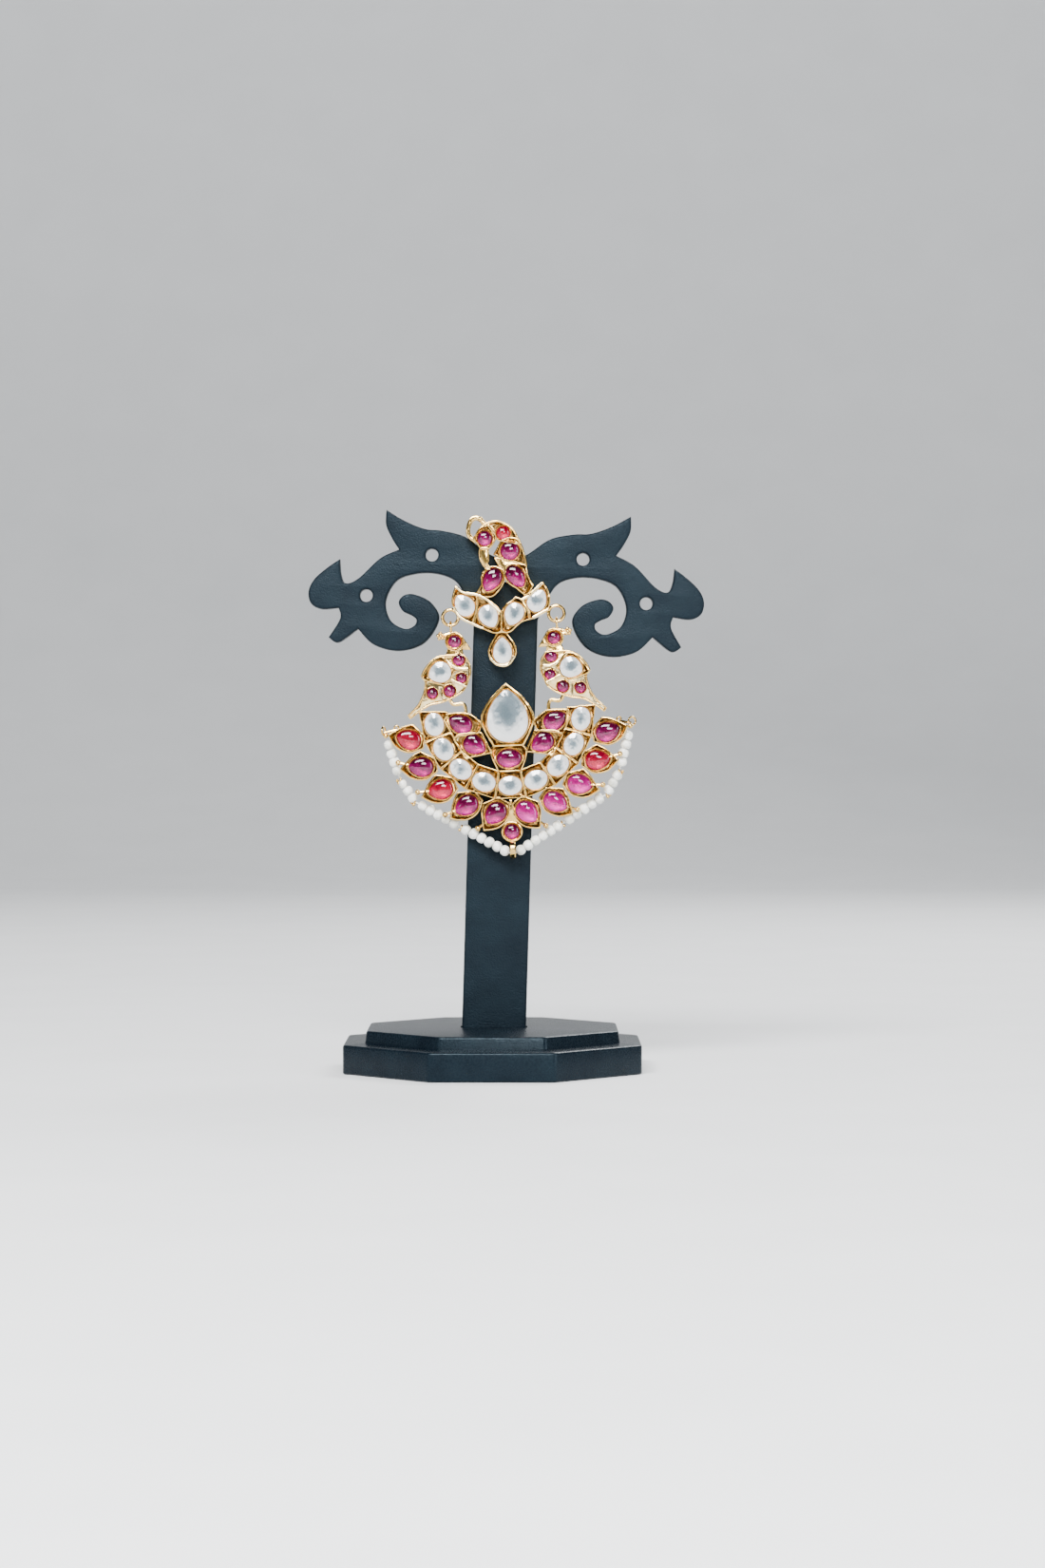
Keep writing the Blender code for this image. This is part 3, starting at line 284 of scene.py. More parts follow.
# The bead string's stations from horn to bottom: angle from straight down, distance from
# the centre in shares of the leaf tips', depth behind the middle, beads up to the next one
STRING_STATIONS = [
    (80.5, 1.045, 0.60, 4), (59.5, 1.045, 0.66, 3), (48.1, 1.062, 0.66, 5),
    (23.6, 1.025, 0.62, 6),
]

# The drop's plan
BAND_INNER = BAND_RADIUS - BAND_WIDTH / 2
BAND_OUTER = BAND_RADIUS + BAND_WIDTH / 2
LEAF_RADIUS = BAND_OUTER + LEAF_STANDOFF
LEAF_TIP = LEAF_RADIUS + LEAF_RISE
OVAL_CENTRE = (0.0, -(BAND_INNER - OVAL_SPACE - OVAL_HEIGHT / 2))
PEAR_CENTRE = (0.0, OVAL_CENTRE[1] + 0.62 * OVAL_HEIGHT + 0.585 * PEAR_LENGTH)
TIP_CENTRE = (0.0, -(LEAF_RADIUS + TIP_DROP))
LOOP_CENTRE = Vector((0.0, 0.0, TIP_CENTRE[1] - TIP_STONE_WIDTH / 2 - LOOP_SINK - LOOP_WIDTH / 2))
SIDES = ((-1, "left"), (1, "right"))

# Where things stand, from the frame
HINGE = frame["joints"][0]
ACROSS = -Vector(HINGE["axis"])
ROLL = math.atan2(ACROSS.z, ACROSS.x)
EARRING = (Matrix.Translation(HINGE["pos_m"]) @ Matrix.Rotation(-ROLL, 4, "Y")
           @ Matrix.Translation((0.0, 0.0, -HINGE_RISE)))
UPRIGHT = Matrix.Rotation(math.radians(UPRIGHT_LEAN), 4, "Y")

# Paints of the metalwork; the fourth is dark gold, painted into the valleys round the stones as
# shade.
GOLD, FOIL, SEAM, PAINTED_SHADE = range(4)
noise.seed_set(WEAR_SEED)


# Materials
def new_material(name):
    material = bpy.data.materials.new(name)
    material.use_nodes = True
    return material, material.node_tree, material.node_tree.nodes["Principled BSDF"]


def add_node(tree, kind, **values):
    """A node with named inputs set, and properties where no input has the name."""
    node = tree.nodes.new(kind)
    for key, value in values.items():
        if key in node.inputs:
            node.inputs[key].default_value = value
        else:
            setattr(node, key, value)
    return node


def grain(tree, scale, detail=3.0):
    """Noise in the piece's own space."""
    place = add_node(tree, "ShaderNodeTexCoord")
    texture = add_node(tree, "ShaderNodeTexNoise", Scale=scale, Detail=detail)
    tree.links.new(place.outputs["Object"], texture.inputs["Vector"])
    return texture.outputs["Fac"]


def blend_colours(tree, source, stops):
    ramp = add_node(tree, "ShaderNodeValToRGB")
    ramp.color_ramp.elements[0].position = stops[0][0]
    ramp.color_ramp.elements[0].color = (*stops[0][1], 1.0)
    ramp.color_ramp.elements[1].position = stops[-1][0]
    ramp.color_ramp.elements[1].color = (*stops[-1][1], 1.0)
    for place, colour in stops[1:-1]:
        ramp.color_ramp.elements.new(place).color = (*colour, 1.0)
    tree.links.new(source, ramp.inputs["Fac"])
    return ramp.outputs["Color"]


def set_colour(tree, shader, source, stops):
    tree.links.new(blend_colours(tree, source, stops), shader.inputs["Base Color"])


def set_roughness(tree, shader, source, rough, low=0.3):
    """Roughness over a range, as the source runs from low to as much under one."""
    node = add_node(tree, "ShaderNodeMapRange", **{
        "From Min": low, "From Max": 1.0 - low, "To Min": rough[0], "To Max": rough[1]})
    tree.links.new(source, node.inputs["Value"])
    tree.links.new(node.outputs["Result"], shader.inputs["Roughness"])


def add_bump(tree, shader, layers):
    """Bumps one over another: (height, strength, distance)."""
    below = None
    for height, strength, distance in layers:
        bump = add_node(tree, "ShaderNodeBump", Strength=strength, Distance=distance)
        tree.links.new(height, bump.inputs["Height"])
        if below:
            tree.links.new(below, bump.inputs["Normal"])
        below = bump.outputs["Normal"]
    tree.links.new(below, shader.inputs["Normal"])


def metal(name, dark, light, rough, dents):
    """Polished metal with soft dents, fine scratches and a slightly uneven polish; painted shade
    darkens the dents' hollows and painted light brightens their crests.
    """
    material, tree, shader = new_material(name)
    shader.inputs["Metallic"].default_value = 1.0
    dent = grain(tree, 900.0)
    scratch = grain(tree, 5200.0, 2.0)
    # Colour from the dent height: painted shade in the hollows, painted light on the crests.
    set_colour(tree, shader, dent, [(0.35, dark), (0.65, light)])
    set_roughness(tree, shader, grain(tree, 2600.0, 4.0), rough)
    add_bump(tree, shader, [(dent, dents, 0.00006), (scratch, dents * 0.4, 0.00001)])
    return material


def stone_place(tree):
    """Where a point lies in its stone: how far from the middle, and how high, -1 to 1."""
    place = add_node(tree, "ShaderNodeTexCoord")
    centred = add_node(tree, "ShaderNodeVectorMath", operation="MULTIPLY_ADD")
    centred.inputs[1].default_value = (2.0, 0.0, 2.0)
    centred.inputs[2].default_value = (-1.0, 0.0, -1.0)
    tree.links.new(place.outputs["Generated"], centred.inputs[0])
    length = add_node(tree, "ShaderNodeVectorMath", operation="LENGTH")
    parts = add_node(tree, "ShaderNodeSeparateXYZ")
    for node in (length, parts):
        tree.links.new(centred.outputs["Vector"], node.inputs[0])
    return length.outputs["Value"], parts.outputs["Z"]


def painted_glint_patches(tree):
    """Painted reflections: flat patches of random lighter tone, standing in for the light that a
    cut stone's facets throw back from its foil.
    """
    place = add_node(tree, "ShaderNodeTexCoord")
    cells = add_node(tree, "ShaderNodeTexVoronoi", feature="SMOOTH_F1",
                     Scale=1100.0, Smoothness=0.25)
    parts = add_node(tree, "ShaderNodeSeparateColor")
    tree.links.new(place.outputs["Object"], cells.inputs["Vector"])
    tree.links.new(cells.outputs["Color"], parts.inputs["Color"])
    return parts.outputs["Red"]


def weighted(tree, source, weight, base):
    """source * weight + base, where base is another source or a number."""
    node = add_node(tree, "ShaderNodeMath", operation="MULTIPLY_ADD")
    tree.links.new(source, node.inputs[0])
    node.inputs[1].default_value = weight
    if isinstance(base, float):
        node.inputs[2].default_value = base
    else:
        tree.links.new(base, node.inputs[2])
    return node.outputs["Value"]


def stone_glass(name, stops, base, outwards, painted_light_by_height, clouds, cloud_scale, clear, ior,
                painted_glints=0.0):
    """Foil-backed stone, clouded, with painted light and shade: its colour runs lighter from its
    middle out as painted reflections, and darker at its top and brighter low down as painted
    light gathered on the foil.
    """
    material, tree, shader = new_material(name)
    distance, height = stone_place(tree)
    tone = weighted(tree, grain(tree, cloud_scale, 4.0), clouds, base - clouds / 2)
    # Painted reflections from the middle out: a dark grey-blue middle and white rim facets on
    # polki, a slightly lighter rim on rubies.
    tone = weighted(tree, distance, outwards, tone)
    # Painted light and shade by height: the top of the stone darker, its lower part brighter as
    # if lit through the foil.
    tone = weighted(tree, height, painted_light_by_height, tone)
    if painted_glints:
        # Painted glints: random lighter patches in place of facets catching the light.
        tone = weighted(tree, painted_glint_patches(tree), painted_glints, tone)
    set_colour(tree, shader, tone, stops)
    shader.inputs["Transmission Weight"].default_value = clear
    shader.inputs["IOR"].default_value = ior
    set_roughness(tree, shader, grain(tree, 3000.0), (0.02, 0.09))
    add_bump(tree, shader, [(grain(tree, 1100.0, 4.0), 0.22, 0.00008)])
    return material


def plastic(name, depth, rough):
    """Matte black moulding with a fine leathery grain."""
    material, tree, shader = new_material(name)
    fine = grain(tree, 3000.0, 2.0)
    set_colour(tree, shader, grain(tree, 160.0, 5.0),
               [(0.3, (0.002, 0.004, 0.007)), (0.7, (0.004, 0.008, 0.012))])
    shader.inputs["Specular IOR Level"].default_value = 0.15
    shader.inputs["Specular Tint"].default_value = (0.66, 0.88, 1.0, 1.0)
    set_roughness(tree, shader, fine, rough, 0.35)
    add_bump(tree, shader, [(fine, depth, 0.00014), (grain(tree, 60.0), 0.15, 0.0002)])
    return material


def bead_glaze(name):
    """Milky bead: opaque white with a thin soft gloss and uneven tone."""
    material, tree, shader = new_material(name)
    set_colour(tree, shader, grain(tree, 420.0),
               [(0.32, (0.54, 0.54, 0.48)), (0.60, (0.90, 0.90, 0.85))])
    shader.inputs["Subsurface Weight"].default_value = 0.35
    shader.inputs["Subsurface Radius"].default_value = (0.001, 0.001, 0.0009)
    shader.inputs["Subsurface Scale"].default_value = 0.6
    set_roughness(tree, shader, grain(tree, 2500.0), (0.16, 0.32))
    add_bump(tree, shader, [(grain(tree, 1500.0, 4.0), 0.25, 0.00008)])
    return material


def floor_paint():
    material, tree, shader = new_material("floor_paint")
    set_colour(tree, shader, grain(tree, 30.0, 6.0),
               [(0.3, (0.76, 0.77, 0.78)), (0.7, (0.79, 0.80, 0.81))])
    shader.inputs["Roughness"].default_value = 0.8
    return material


# Flat outlines
def around(count, start=0.0):
    """Angles of even steps round a circle."""
    return [math.tau * (k + start) / count for k in range(count)]


def polar(radius, degrees):
    """A point at an angle from straight down, positive to the right."""
    turn = math.radians(degrees)
    return (radius * math.sin(turn), -radius * math.cos(turn))


def scaled(points, size, centre=(0.0, 0.0), tall=None):
    height = size if tall is None else tall
    return [(centre[0] + p[0] * size, centre[1] + p[1] * height) for p in points]


def mirrored(points):
    return [(-u, w) for u, w in reversed(points)]


def turns_left(points):
    area = sum(a[0] * b[1] - b[0] * a[1] for a, b in zip(points, points[1:] + points[:1]))
    return points if area > 0 else points[::-1]


def stone_edge(length, width, turn, point, sides):
    """An oval, or a drop whose point turns clockwise from upright by so many degrees."""
    lean = math.radians(turn)
    fullest = max(math.sin(a) * math.sin(a / 2) ** point
                  for a in [math.pi * k / 90 for k in range(91)])
    edge = []
    for a in around(sides):
        across = math.sin(a) * math.sin(a / 2) ** point / fullest * width / 2
        up = math.cos(a) * length / 2
        edge.append((across * math.cos(lean) + up * math.sin(lean),
                     up * math.cos(lean) - across * math.sin(lean)))
    return turns_left(edge)


def disc(width, centre, sides=24):
    return scaled(stone_edge(1, 1, 0, 0, sides), width, centre)


def curve_between(before, start, end, after, steps):
    for step in range(steps):
        t = step / steps
        yield 0.5 * (2 * start + (end - before) * t
                     + (2 * before - 5 * start + 4 * end - after) * t * t
                     + (3 * start - before - 3 * end + after) * t ** 3)


def open_curve(points, steps):
    """A smooth line through points."""
    line = [Vector(p) for p in points]
    curve = []
    for k in range(len(line) - 1):
        before, after = line[max(k - 1, 0)], line[min(k + 2, len(line) - 1)]
        curve += curve_between(before, line[k], line[k + 1], after, steps)
    return [tuple(p) for p in curve + [line[-1]]]


def is_corner(points, k, angle):
    here = Vector(points[k])
    run_in = here - Vector(points[k - 1])
    run_out = Vector(points[(k + 1) % len(points)]) - here
    return run_in.angle(run_out, 0.0) > math.radians(angle)


def curved(points, steps=5, corner=52):
    """A closed outline with its blunt corners rounded and its sharp ones kept."""
    points = turns_left(points)
    count = len(points)
    curve = []
    for k in range(count):
        start, end = Vector(points[k]), Vector(points[(k + 1) % count])
        before = start if is_corner(points, k, corner) else Vector(points[k - 1])
        after = (end if is_corner(points, (k + 1) % count, corner)
                 else Vector(points[(k + 2) % count]))
        curve += curve_between(before, start, end, after, steps)
    return [tuple(p) for p in curve]


def inset_edge(points, amount):
    """The outline moved inwards; points run anticlockwise seen from the front."""
    count = len(points)
    moved = []
    for k in range(count):
        here = Vector(points[k])
        run_in = (here - Vector(points[k - 1])).normalized()
        run_out = (Vector(points[(k + 1) % count]) - here).normalized()
        side_in, side_out = Vector((-run_in.y, run_in.x)), Vector((-run_out.y, run_out.x))
        mitre = (side_in + side_out) / max(1.0 + side_in.dot(side_out), 0.5)
        moved.append(tuple(here + mitre * amount))
    return moved


def reach(points, centre, angle):
    """How far an outline lies from a point inside it, along one direction."""
    ray_u, ray_w = math.cos(angle), math.sin(angle)
    best = 0.0
    for a, b in zip(points, points[1:] + points[:1]):
        edge_u, edge_w = b[0] - a[0], b[1] - a[1]
        cross = ray_u * edge_w - ray_w * edge_u
        if cross == 0.0:
            continue
        start_u, start_w = a[0] - centre[0], a[1] - centre[1]
        along = (start_u * ray_w - start_w * ray_u) / cross
        if 0.0 <= along <= 1.0:
            best = max(best, (start_u * edge_w - start_w * edge_u) / cross)
    return best


def ray_angles(corners, centre):
    """Directions all round a point, some moved to meet the outline's corners."""
    angles = around(RAYS)
    for k in range(len(corners)):
        if is_corner(corners, k, 20):
            turn = math.atan2(corners[k][1] - centre[1], corners[k][0] - centre[0])
            angles[round(turn / math.tau * RAYS) % RAYS] = turn % math.tau
    return angles


# Meshes
def loft(bm, rings, paints=GOLD, closed=False, capped=True):
    """Skin over rings of points, with one paint or one for each band, and its ends capped."""
    loops = [[bm.verts.new(p) for p in ring] for ring in rings]
    paints = [paints] * len(rings) if isinstance(paints, int) else paints
    pairs = list(zip(loops, loops[1:]))
    if closed:
        pairs.append((loops[-1], loops[0]))
    else:
        bm.faces.new(loops[0][::-1]).material_index = paints[0]
        if capped:
            bm.faces.new(loops[-1]).material_index = paints[len(pairs) - 1]
    for (low, high), paint in zip(pairs, paints):
        for k in range(len(low)):
            nxt = (k + 1) % len(low)
            bm.faces.new((low[k], low[nxt], high[nxt], high[k])).material_index = paint


def at_depth(points, depth):
    return [(p[0], depth, p[1]) for p in points]


def worn(points, seed):
    """Slight handmade unevenness."""
    shift = Vector((seed, 0.0, 0.0))
    return [tuple(Vector(p) + noise.noise_vector(Vector(p) * 700.0 + shift) * WEAR)
            for p in points]


def add_cell(bm, edge, centre, outline, front, back, rim=RIM):
    """A setting: outer wall, thin rim, a valley painted dark gold as painted shade, the lip round
    the stone, and a floor.
    """
    corners = turns_left(edge)
    smooth = curved(corners)
    angles = ray_angles(corners, centre)
    spokes = [(math.cos(a), math.sin(a)) for a in angles]
    snug = [reach(outline, centre, a) for a in angles]
    lip_in = [s + STONE_GAP for s in snug]
    soft = RIM_ROUND
    margin = rim + 0.3 * soft
    rings, paints = [], []

    def ring(radii, depths, paint=GOLD):
        if isinstance(depths, float):
            depths = [depths] * len(radii)
        rings.append(worn([(centre[0] + r * s[0], d, centre[1] + r * s[1])
                           for r, d, s in zip(radii, depths, spokes)], 3.0))
        paints.append(paint)

    def wall(inset):
        line = inset_edge(smooth, inset) if inset else smooth
        return [max(reach(line, centre, a), r + margin - inset)
                for a, r in zip(angles, lip_in)]

    section = [(soft, back), (0.0, back - soft), (0.0, front + soft),
               (0.2 * soft, front + 0.5 * soft), (0.5 * soft, front + 0.2 * soft), (soft, front),
               (rim - 0.4 * soft, front), (rim, front + 0.3 * soft)]
    for inset, depth in section:
        ring(wall(inset), depth)
    inner = wall(margin)
    ring(inner, front + soft, FOIL)
    lip_out = [min(r + LIP_WIDTH, far) for r, far in zip(lip_in, inner)]
    room = [max(far - r, soft / 4) for far, r in zip(inner, lip_out)]
    # The valley's bands carry painted shade: dark gold in place of the shade in the recess round
    # the stone.
    for share, deep in VALLEY:
        ring([r + gap * share for r, gap in zip(lip_out, room)],
             [front + soft + deep * min(VALLEY_DEPTH, 0.9 * gap) for gap in room], PAINTED_SHADE)
    crest = front + LIP_DROP
    low = front + SEAM_DEPTH
    ring(lip_out, crest + 0.6 * soft)
    ring([(a + b) / 2 for a, b in zip(lip_in, lip_out)], crest, SEAM)
    ring(lip_in, crest + 0.6 * soft, SEAM)
    ring(lip_in, low, SEAM)
    well = [s - STONE_GAP for s in snug]
    ring(well, low + STONE_GAP, FOIL)
    ring(well, back - FLOOR_SKIN, FOIL)
    loft(bm, rings, paints)


def add_plate(bm, edge, front, back, paint=GOLD):
    """A plain plate with rounded edges."""
    edge = curved(edge)
    low = min(RIM_ROUND, (back - front) / 3)
    section = [(low, back), (0.0, back - low), (0.0, front + low), (0.3 * low, front + 0.3 * low),
               (low, front)]
    loft(bm, [worn(at_depth(inset_edge(edge, inset), depth), 5.0) for inset, depth in section],
         paint)


def add_wall(bm, line, width, front, back, paint=GOLD):
    """A strip of metal standing on edge along a line, its front edges rounded."""
    low = width * 0.3
    half = width / 2
    section = [(-half, back), (-half, front + low), (-half + 0.3 * low, front + 0.3 * low),
               (-half + low, front), (half - low, front), (half - 0.3 * low, front + 0.3 * low),
               (half, front + low), (half, back)]
    rings = []
    for k, point in enumerate(line):
        ahead, behind = line[min(k + 1, len(line) - 1)], line[max(k - 1, 0)]
        run = Vector((ahead[0] - behind[0], ahead[1] - behind[1])).normalized()
        rings.append([(point[0] - run.y * off, depth, point[1] + run.x * off)
                      for off, depth in section])
    loft(bm, [worn(ring, 7.0) for ring in rings], paint)


def add_ball(bm, centre, width):
    bmesh.ops.create_icosphere(bm, subdivisions=3, radius=width / 2,
                               matrix=Matrix.Translation(centre))


def add_hoop(bm, centre, width, wire, turn=0.0):
    """A round wire ring that faces the front, turned about w."""
    place = Matrix.Translation(centre) @ Matrix.Rotation(turn, 4, "Z")
    middle = (width - wire) / 2
    rings = []
    for turned in around(RING_STEPS):
        ring = []
        for a in around(12):
            out = middle + wire / 2 * math.cos(a)
            ring.append(tuple(place @ Vector((out * math.cos(turned), wire / 2 * math.sin(a),
                                              out * math.sin(turned)))))
        rings.append(ring)
    loft(bm, rings, closed=True)


def add_wire(bm, path, width):
    """A round wire along points in space."""
    rings = []
    for k, place in enumerate(path):
        run = Vector(path[min(k + 1, len(path) - 1)]) - Vector(path[max(k - 1, 0)])
        turn = run.to_track_quat("X", "Z").to_matrix()
        rings.append([tuple(Vector(place) + turn @ Vector((0.0, math.cos(a), math.sin(a)))
                            * width / 2)
                      for a in around(WIRE_SIDES)])
    loft(bm, rings)


def add_gem(bm, outline, centre, front, kind):
    """A foil-backed stone: a smooth dome, or a cut crown with a flat table."""
    girdle = front + GIRDLE_DEPTH
    edge = girdle - GIRDLE_WIDTH

    def ring(share, depth):
        return at_depth(scaled([(p[0] - centre[0], p[1] - centre[1]) for p in outline], share,
                               centre), depth)

    back = [ring(share, girdle + BOWL_DEPTH * deep) for share, deep in BOWL]
    if kind == "polki":
        rings = back + [ring(1.0, girdle), ring(0.985, edge)]
        loft(bm, rings, [1] * len(back) + [0], capped=False)
        cut_crown(bm, outline, centre, front - TABLE_RISE)
        return
    dome = [ring(math.cos(t), girdle - RUBY_RISE * math.sin(t))
            for t in [math.pi / 2 * k / 9 for k in range(9)]]
    rings = back + dome + [ring(0.03, girdle - RUBY_RISE)]
    loft(bm, rings, [1] * len(back) + [0] * (len(dome) + 1))


def cut_crown(bm, outline, centre, high):
    """Facets from the girdle to the table, slightly uneven as old cut stones are."""
    count = len(outline)
    bm.verts.ensure_lookup_table()
    girdle = list(bm.verts)[-count:]
    middle = Vector(centre)
    half = min((Vector(p) - middle).length for p in outline)
    upper = []
    for k in range(CROWN_FACETS):
        p = Vector(outline[round((k + 0.5) * count / CROWN_FACETS) % count]) - middle
        share = 1 - CROWN_WIDTH / half * (1 + 0.35 * noise.noise(Vector((p.x, p.y, k)) * 900.0))
        upper.append(bm.verts.new((centre[0] + p.x * share, high, centre[1] + p.y * share)))
    bm.faces.new(upper)
    for k in range(CROWN_FACETS):
        first, last = round(k * count / CROWN_FACETS), round((k + 1) * count / CROWN_FACETS)
        here = [girdle[j % count] for j in range(first, last + 1)]
        for a, b in zip(here, here[1:]):
            bm.faces.new((a, b, upper[k]))
        bm.faces.new((here[-1], upper[(k + 1) % CROWN_FACETS], upper[k]))


def make_object(name, bm, place=Matrix.Identity(4)):
    mesh = bpy.data.meshes.new(name)
    bm.to_mesh(mesh)
    bm.free()
    mesh.transform(place)
    made = bpy.data.objects.new(name, mesh)
    bpy.context.scene.collection.objects.link(made)
    return made


def finish_mesh(name, bm, materials, body, node, place=EARRING, angle=30.0):
    """Makes the piece in place, smooth between its creases, riding on its body."""
    bmesh.ops.recalc_face_normals(bm, faces=bm.faces)
    piece = make_object(name, bm, place)
    piece.data.shade_smooth()
    piece.data.set_sharp_from_angle(angle=math.radians(angle))
    for material in materials:
        piece.data.materials.append(material)
    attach(piece, body)
    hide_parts(node)
    return piece


GEM_CREASE = {"polki": 7.0, "ruby": 60.0}


class Metalwork:
    """One group of settings of the earring, and the stones that it holds."""

    def __init__(self, name, body="drop", node="drop_frame", middle=0.0, depth=DROP_DEPTH):
        self.name, self.body, self.node = name, body, node
        self.middle, self.depth = middle, depth
        self.bm = bmesh.new()

    def front(self, share):
        return self.middle - share * self.depth

    def back(self, share):
        return self.middle + share * self.depth

    def set_stone(self, node, edge, spot, stone, front, back, rim=RIM):
        outline = scaled(stone_edge(stone.length, stone.width, stone.turn, stone.point, RAYS),
                         1.0, spot)
        add_cell(self.bm, edge, spot, outline, front, back, rim)
        gem = bmesh.new()
        slot = "polki" if stone.kind in ("polki", "pear") else "ruby"
        add_gem(gem, outline, spot, front, slot)
        finish_mesh(node.replace("stone_", "gem_"), gem, GEMS[stone.kind], self.body, node,
                    angle=GEM_CREASE[slot])

    def add_setting(self, plate, node, size, centre=(0.0, 0.0), side=1):
        edge = scaled(plate.edge, size, centre)
        stone = plate.stone
        spot = (side * (centre[0] + stone.across * size), centre[1] + stone.up * size)
        cut = stone._replace(length=stone.length * size, width=stone.width * size,
                             turn=stone.turn * side)
        self.set_stone(node, mirrored(edge) if side < 0 else edge, spot, cut,
                       self.front(plate.front), self.back(plate.back))

    def finish(self):
        finish_mesh(self.name, self.bm, METAL, self.body, self.node)


# Top of the earring
def build_top():
    middle = SWING_GAP + DROP_DEPTH / 2 - HANG_GAP - TOP_DEPTH / 2
    work = Metalwork("top_settings", "root", "top_frame", middle, TOP_DEPTH)
    centre = (0.0, HINGE_RISE)
    for plate in TOP_PLATES:
        if plate.stone:
            work.add_setting(plate, "stone_" + plate.name, TOP_SPAN, centre)
        else:
            edge = scaled(plate.edge, TOP_SPAN, centre)
            add_plate(work.bm, edge, work.front(plate.front), work.back(plate.back))
            rim = curved(edge)
            add_wall(work.bm, rim + rim[:1], RIM, work.front(plate.front) - RIM_STAND,
                     work.front(plate.front) + RIM_STAND)
    crest = scaled(CREST, TOP_SPAN, centre)
    add_wall(work.bm, open_curve(crest, 6), CREST_WIDTH, work.front(0.38), work.back(0.2))
    add_ball(work.bm, (crest[-2][0], work.front(0.3), crest[-2][1]), STUD_WIDTH)
    ridge = open_curve(scaled(BACK_RIDGE, TOP_SPAN, centre), 6)
    add_wall(work.bm, ridge, RIM * 1.3, work.front(0.5), work.back(0.3))
    for ridge in ROW_RIDGES:
        line = open_curve(scaled(ridge, TOP_SPAN, centre), 6)
        add_wall(work.bm, line, ROW_RIDGE_WIDTH, work.front(0.51), work.back(0.3), FOIL)
    for side in (-1, 1):
        rise = HINGE_RISE + (RING_WIDTH - RING_WIRE) / 2
        add_hoop(work.bm, (side * RING_SPREAD, 0.0, rise), RING_WIDTH, RING_WIRE)
    add_ear_post(work, middle)
    work.finish()


def add_ear_post(work, middle):
    u, w = EAR_POST_PLACE[0] * TOP_SPAN, HINGE_RISE + EAR_POST_PLACE[1] * TOP_SPAN
    start = work.back(0.455) - FLOOR_SKIN / 2
    tip = middle + TOP_DEPTH / 2 + EAR_POST_LENGTH
    levels = [(1.0, start), (1.0, tip - EAR_POST_POINT), (0.9, tip - EAR_POST_POINT / 2),
              (0.55, tip)]
    loft(work.bm, [at_depth(disc(EAR_POST_WIDTH * share, (u, w), 20), depth)
                   for share, depth in levels])


# The swinging drop
def build_band():
    work = Metalwork("crescent_band")
    step = 2 * BAND_HALF_ARC / BAND_STONES
    pitch = 2 * BAND_RADIUS * math.tan(math.radians(step / 2))
    for k in range(BAND_STONES):
        start = -BAND_HALF_ARC + step * k
        edge = [polar(BAND_INNER, start), polar(BAND_INNER, start + step),
                polar(BAND_OUTER, start + step), polar(BAND_OUTER, start)]
        middle = start + step / 2
        stone = Stone(0, 0, pitch - BAND_STONE_SPACE, BAND_STONE_HEIGHT, 90 - middle, 0,
                      "polki")
        work.set_stone("stone_band_%d" % (k + 1), edge, polar(BAND_RADIUS, middle), stone,
                       work.front(0.5), work.back(0.5), RIM * 0.8)
    work.finish()


def build_leaves():
    work = Metalwork("leaf_settings")
    pitch = LEAF_RADIUS * math.radians(LEAF_STEP)
    for side, word in SIDES:
        for k in range(LEAVES_A_SIDE):
            angle = LEAF_STEP * (k + 0.53)
            turn = math.radians(angle)
            outwards = Vector((math.sin(turn), -math.cos(turn)))
            sideways = Vector((math.cos(turn), math.sin(turn)))
            centre = outwards * LEAF_RADIUS
            edge = [centre + outwards * p * LEAF_RISE + sideways * q * pitch
                    for p, q in LEAF_EDGE]
            edge = [(side * p.x, p.y) for p in edge]
            stagger = 0.006 * k + (0.003 if side > 0 else 0.0)
            front = work.front(0.45 - stagger)
            name = "%s_%d" % (word, k + 1)
            kind = ("red" if name in REDDER_LEAVES else
                    "pink" if name in PINKER_LEAVES else "ruby")
            stone = Stone(0, 0, LEAF_STONE_LENGTH, LEAF_STONE_WIDTH,
                          side * (180 - angle - LEAF_SWEEP), 0.35, kind)
            work.set_stone("stone_leaf_" + name, edge, (side * centre.x, centre.y), stone,
                           front, front + LEAF_DEPTH)
            if k < LEAVES_A_SIDE - 1:
                add_stud(work, centre, outwards, sideways, pitch, side)
    for side, _ in SIDES:
        add_horn_hook(work.bm, side)
    work.finish()


def add_horn_hook(bm, side):
    """The bent wire past the outermost leaf's tip that the bead string is tied to."""
    lug = horn_lug(side)
    add_ball(bm, lug, HORN_LUG_WIDTH * 0.8)
    middle = lug + Vector((side * 0.2, 0.0, 0.5)) * HORN_HOOK_WIDTH
    add_hoop(bm, middle, HORN_HOOK_WIDTH, HORN_HOOK_WIRE, turn=0.5 if side > 0 else 1.2)
    root = lug + Vector((-side * 1.1, -0.15, 0.55)) * HORN_HOOK_WIDTH
    add_wire(bm, [root, lug.lerp(middle, 0.6)], HORN_HOOK_WIRE * 1.3)
    add_hoop(bm, root + Vector((0.0, 0.0, 0.2)) * HORN_HOOK_WIDTH, HORN_HOOK_WIDTH * 0.6,
             HORN_HOOK_WIRE * 0.9)


def add_stud(work, centre, outwards, sideways, pitch, side):
    """A ball beside a leaf's tip, on a short arm from the leaf."""
    ball = centre + outwards * LEAF_RISE * 0.88 + sideways * pitch * 0.52
    root = centre + outwards * LEAF_RISE * 0.45 + sideways * pitch * 0.25
    depth = work.front(0.17)
    add_wire(work.bm, [(side * root.x, depth, root.y), (side * ball.x, depth, ball.y)],
             STUD_WIDTH / 2)
    add_ball(work.bm, (side * ball.x, depth, ball.y), STUD_WIDTH)


